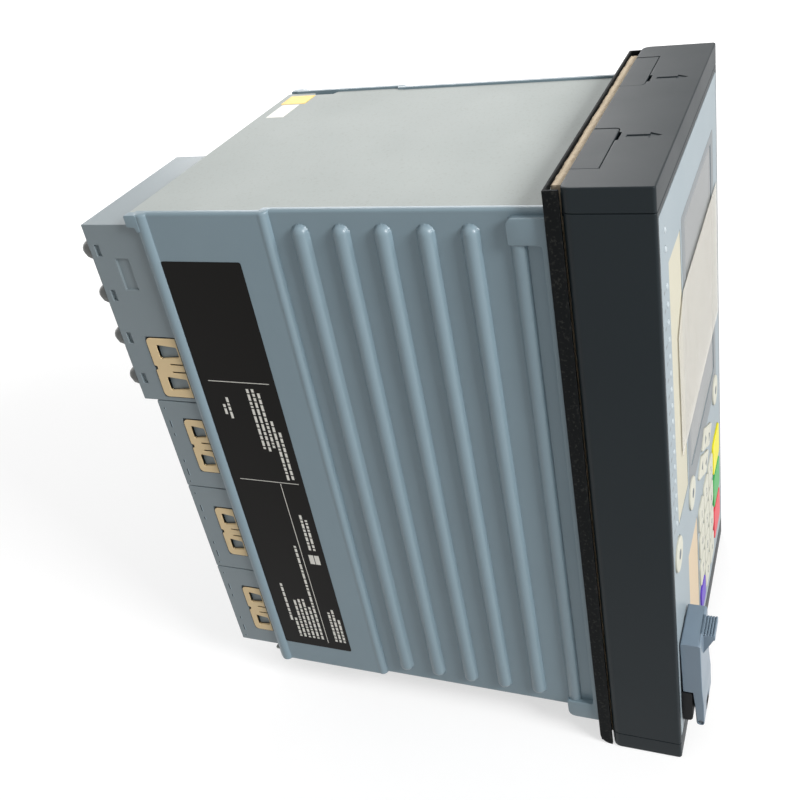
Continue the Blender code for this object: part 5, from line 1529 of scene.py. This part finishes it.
@dataclass
class Labels(SubAssembly):
    """The black rating label on the left side and the two small stickers on top."""

    face: float = -0.0718
    front: float = 0.1548
    rear: float = 0.1905
    low: float = 0.0290
    top: float = 0.2370
    thickness: float = 0.00015
    unit: float = 0.001
    letter: float = 0.0012
    shortest: float = 0.0009
    longest: float = 0.0034
    space: float = 0.0006
    seed: int = 11
    print_height: float = 0.00006
    rule_height: float = 0.00004
    sticker_height: float = 0.0001
    rules: tuple[tuple[float, float, float, float], ...] = (
        (0.18235, 0.18265, 0.1575, 0.1863), (0.13105, 0.13135, 0.1573, 0.1862),
        (0.0326, 0.1305, 0.16615, 0.16645), (0.0846, 0.0900, 0.1578, 0.1602),
        (0.0846, 0.0900, 0.1606, 0.1630),
    )
    blocks: tuple[tuple[float, float, tuple[Span, ...]], ...] = (
        (
            0.1592, 0.0024,
            ((0.1335, 0.1590), (0.1330, 0.1640), (0.1500, 0.1790), (0.1480, 0.1800), (0.1490, 0.1795)),
        ),
        (0.1800, 0.0023, ((0.1640, 0.1760), (0.1660, 0.1720))),
        (0.1590, 0.0022, ((0.0930, 0.1110), (0.0930, 0.1150))),
        (0.1570, 0.0022, ((0.0345, 0.0500), (0.0345, 0.0560), (0.0345, 0.0540))),
        (
            0.1688, 0.00235,
            (
                (0.0345, 0.0945), (0.0345, 0.0560), (0.0345, 0.0610), (0.0345, 0.0600), (0.0345, 0.0590),
                (0.0345, 0.0480), (0.0450, 0.0690),
            ),
        ),
    )

    def sheet(self, low: float, high: float, front: float, rear: float) -> list[Point]:
        """A rectangle between two lengths or heights and two depths."""
        return Workshop.rectangle(low, high, self.frame.depth(front), self.frame.depth(rear))

    def words(self) -> Mesh:
        """The label's plain bars, which stand for its lines of print.

        Returns:
            Their mesh.
        """
        rng = random.Random(self.seed)
        places: list[Place] = []
        stretches: list[float] = []
        for front, pitch, lines in self.blocks:
            for row, (low, high) in enumerate(lines):
                place = low
                while place < high - self.shortest:
                    word = min(rng.uniform(self.shortest, self.longest), high - place)
                    places.append((place, self.frame.depth(front + row * pitch), 0))
                    stretches.append(word / self.unit)
                    place += word + self.space
        return Trees.print_bars().run(
            places, PRINT, stretches, Length=self.unit, Width=self.letter, Thickness=self.print_height
        )

    def build(self) -> None:
        """Lays the label with its plain lines and bars, and the two stickers."""
        corners = Workshop.rounded(self.sheet(self.low, self.top, self.front, self.rear), 0.001)
        plate = Workshop.to_left(Workshop.prism(corners, self.thickness, 0.00005, 1), self.face)
        self.add("side_label", plate, Body.FIXED.value, LABEL, smooth=30)
        rules = [(Workshop.prism(self.sheet(*rule), self.rule_height), PRINT) for rule in self.rules]
        surface = self.face - self.thickness
        lines = Workshop.to_left(Workshop.joined(rules, "lines"), surface)
        self.add("label_lines", lines, Body.FIXED.value, PRINT, smooth=None)
        self.add("label_print", Workshop.to_left(self.words(), surface), Body.FIXED.value, PRINT, smooth=None)
        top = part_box("top_cover")[1].z
        for name, sides, finish in (
            ("yellow_sticker", (0.053, 0.065, 0.1840, 0.1970), YELLOW_STICKER),
            ("white_sticker", (0.0348, 0.0520, 0.1863, 0.1955), WHITE_STICKER),
        ):
            mesh = Workshop.prism(Workshop.rounded(self.sheet(*sides), 0.0006), self.sticker_height)
            mesh.transform(Matrix.Translation((0, 0, top)))
            self.add(name, mesh, Body.FIXED.value, finish, smooth=None)


@dataclass(frozen=True)
class Lamp:
    """A soft square lamp: its place, its size and its power."""

    name: str
    place: Place
    size: float
    power: float


@dataclass
class Studio:
    """The pale floor, the soft lamps, the white surround and the camera."""

    frame: Frame
    centre: Place = (-0.3592, -0.0517, 0.3863)
    right: Place = (0.3368, -0.9282, -0.1582)
    up: Place = (0.5413, 0.0533, 0.8391)
    back: Place = (-0.7704, -0.3683, 0.5204)
    lens: float = 45.39
    shift: tuple[float, float] = (-0.0396, -0.0331)
    lamps: tuple[Lamp, ...] = (
        Lamp("overhead", (-0.25, 0.0, 1.35), 1.4, 3.0),
        Lamp("key", (-0.42, -1.24, 0.92), 0.55, 23.0),
        Lamp("side_fill", (-1.6, 0.2, 0.5), 1.2, 1.0),
        Lamp("sheen", (1.23, 0.59, 0.96), 0.8, 9.0),
        Lamp("back_fill", (0.7, 1.6, 0.6), 0.9, 8.0),
    )
    aim: Place = (0.0, 0.0, 0.13)
    ambient: float = 0.22
    sensor: float = 36
    near: float = 0.01
    floor_half: float = 3.0
    floor_roughness: float = 0.9
    floor_colour: float = 0.42
    floor_glow: float = 0.62
    glow_reach: tuple[float, float] = (0.5, 1.3)

    def camera(self) -> None:
        """Places the camera at the photograph's viewing angle."""
        data = bpy.data.cameras.new("camera")
        data.lens = self.lens
        data.sensor_width = self.sensor
        data.shift_x, data.shift_y = self.shift
        data.clip_start = self.near
        camera = bpy.data.objects.new("camera", data)
        turn = Matrix((Vector(self.right), Vector(self.up), Vector(self.back))).transposed().to_4x4()
        x, y, z = self.centre
        camera.matrix_world = Matrix.Translation((x, self.frame.depth(y), z)) @ turn
        bpy.context.scene.collection.objects.link(camera)
        bpy.context.scene.camera = camera

    def light(self, lamp: Lamp) -> None:
        """Hangs a lamp that looks at the relay's middle.

        Args:
            lamp: the lamp.
        """
        data = bpy.data.lights.new(lamp.name, "AREA")
        data.size = lamp.size
        data.energy = lamp.power
        hung = bpy.data.objects.new(lamp.name, data)
        hung.location = lamp.place
        hung.rotation_euler = (Vector(self.aim) - Vector(lamp.place)).to_track_quat("-Z", "Y").to_euler()
        bpy.context.scene.collection.objects.link(hung)

    @staticmethod
    def background_share(nodes: Nodes, wire: Callable) -> Socket:
        """One where a ray comes from the camera, off a gloss or through glass, and nothing elsewhere.

        Args:
            nodes: the node tree's nodes.
            wire: what links one socket to another.

        Returns:
            The socket of that share.
        """
        path = nodes.new("ShaderNodeLightPath")
        first = nodes.new("ShaderNodeMath")
        first.operation = "MAXIMUM"
        wire(path.outputs["Is Camera Ray"], first.inputs[0])
        wire(path.outputs["Is Glossy Ray"], first.inputs[1])
        both = nodes.new("ShaderNodeMath")
        both.operation = "MAXIMUM"
        wire(first.outputs[0], both.inputs[0])
        wire(path.outputs["Is Transmission Ray"], both.inputs[1])
        return both.outputs[0]

    def surround(self) -> None:
        """A world that gives an even dim light and shows white."""
        world = bpy.data.worlds.new("surround")
        world.use_nodes = True
        bpy.context.scene.world = world
        nodes = world.node_tree.nodes
        wire = world.node_tree.links.new
        level = nodes.new("ShaderNodeMapRange")
        level.inputs["To Min"].default_value = self.ambient
        level.inputs["To Max"].default_value = 1.0
        wire(self.background_share(nodes, wire), level.inputs["Value"])
        shown = nodes["Background"]
        shown.inputs["Color"].default_value = (1, 1, 1, 1)
        wire(level.outputs["Result"], shown.inputs["Strength"])

    def floor(self) -> None:
        """A pale floor that keeps the relay's shadow."""
        shape = bmesh.new()
        bmesh.ops.create_grid(shape, x_segments=2, y_segments=2, size=self.floor_half)
        mesh = Workshop.mesh_of(shape, "floor")
        floor = bpy.data.objects.new("floor", mesh)
        bpy.context.scene.collection.objects.link(floor)
        made = bpy.data.materials.new("pale_floor")
        made.use_nodes = True
        nodes = made.node_tree.nodes
        wire = made.node_tree.links.new
        shader = nodes["Principled BSDF"]
        shader.inputs["Base Color"].default_value = (*(self.floor_colour,) * 3, 1)
        shader.inputs["Roughness"].default_value = self.floor_roughness
        glow = nodes.new("ShaderNodeMath")
        glow.operation = "MULTIPLY"
        away = nodes.new("ShaderNodeVectorMath")
        away.operation = "LENGTH"
        wire(nodes.new("ShaderNodeTexCoord").outputs["Object"], away.inputs[0])
        level = nodes.new("ShaderNodeMapRange")
        level.inputs["From Min"].default_value = self.glow_reach[0]
        level.inputs["From Max"].default_value = self.glow_reach[1]
        level.inputs["To Min"].default_value = self.floor_glow
        level.inputs["To Max"].default_value = 1.0
        wire(away.outputs["Value"], level.inputs["Value"])
        wire(self.background_share(nodes, wire), glow.inputs[0])
        wire(level.outputs["Result"], glow.inputs[1])
        shader.inputs["Emission Color"].default_value = (1, 1, 1, 1)
        wire(glow.outputs[0], shader.inputs["Emission Strength"])
        mesh.materials.append(made)

    def build(self) -> None:
        """Sets up the camera, the lamps, the floor and the view."""
        bpy.context.scene.view_settings.view_transform = "Standard"
        self.camera()
        self.surround()
        self.floor()
        for lamp in self.lamps:
            self.light(lamp)


def main() -> None:
    """Builds the relay's looks on its frame, piece by piece."""
    logging.basicConfig(level=logging.INFO, format="%(name)s: %(message)s")
    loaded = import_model()
    frame = Frame(loaded)
    Studio(frame).build()
    for assembly in (
        SideWalls(frame), Enclosure(frame), Bezel(frame), Gasket(frame), FrontPanel(frame),
        Keys(frame), PortFlap(frame), Terminals(frame), RearFittings(frame), Labels(frame),
    ):
        log.info("building %s", type(assembly).__name__)
        assembly.build()


if __name__ == "__main__":
    main()
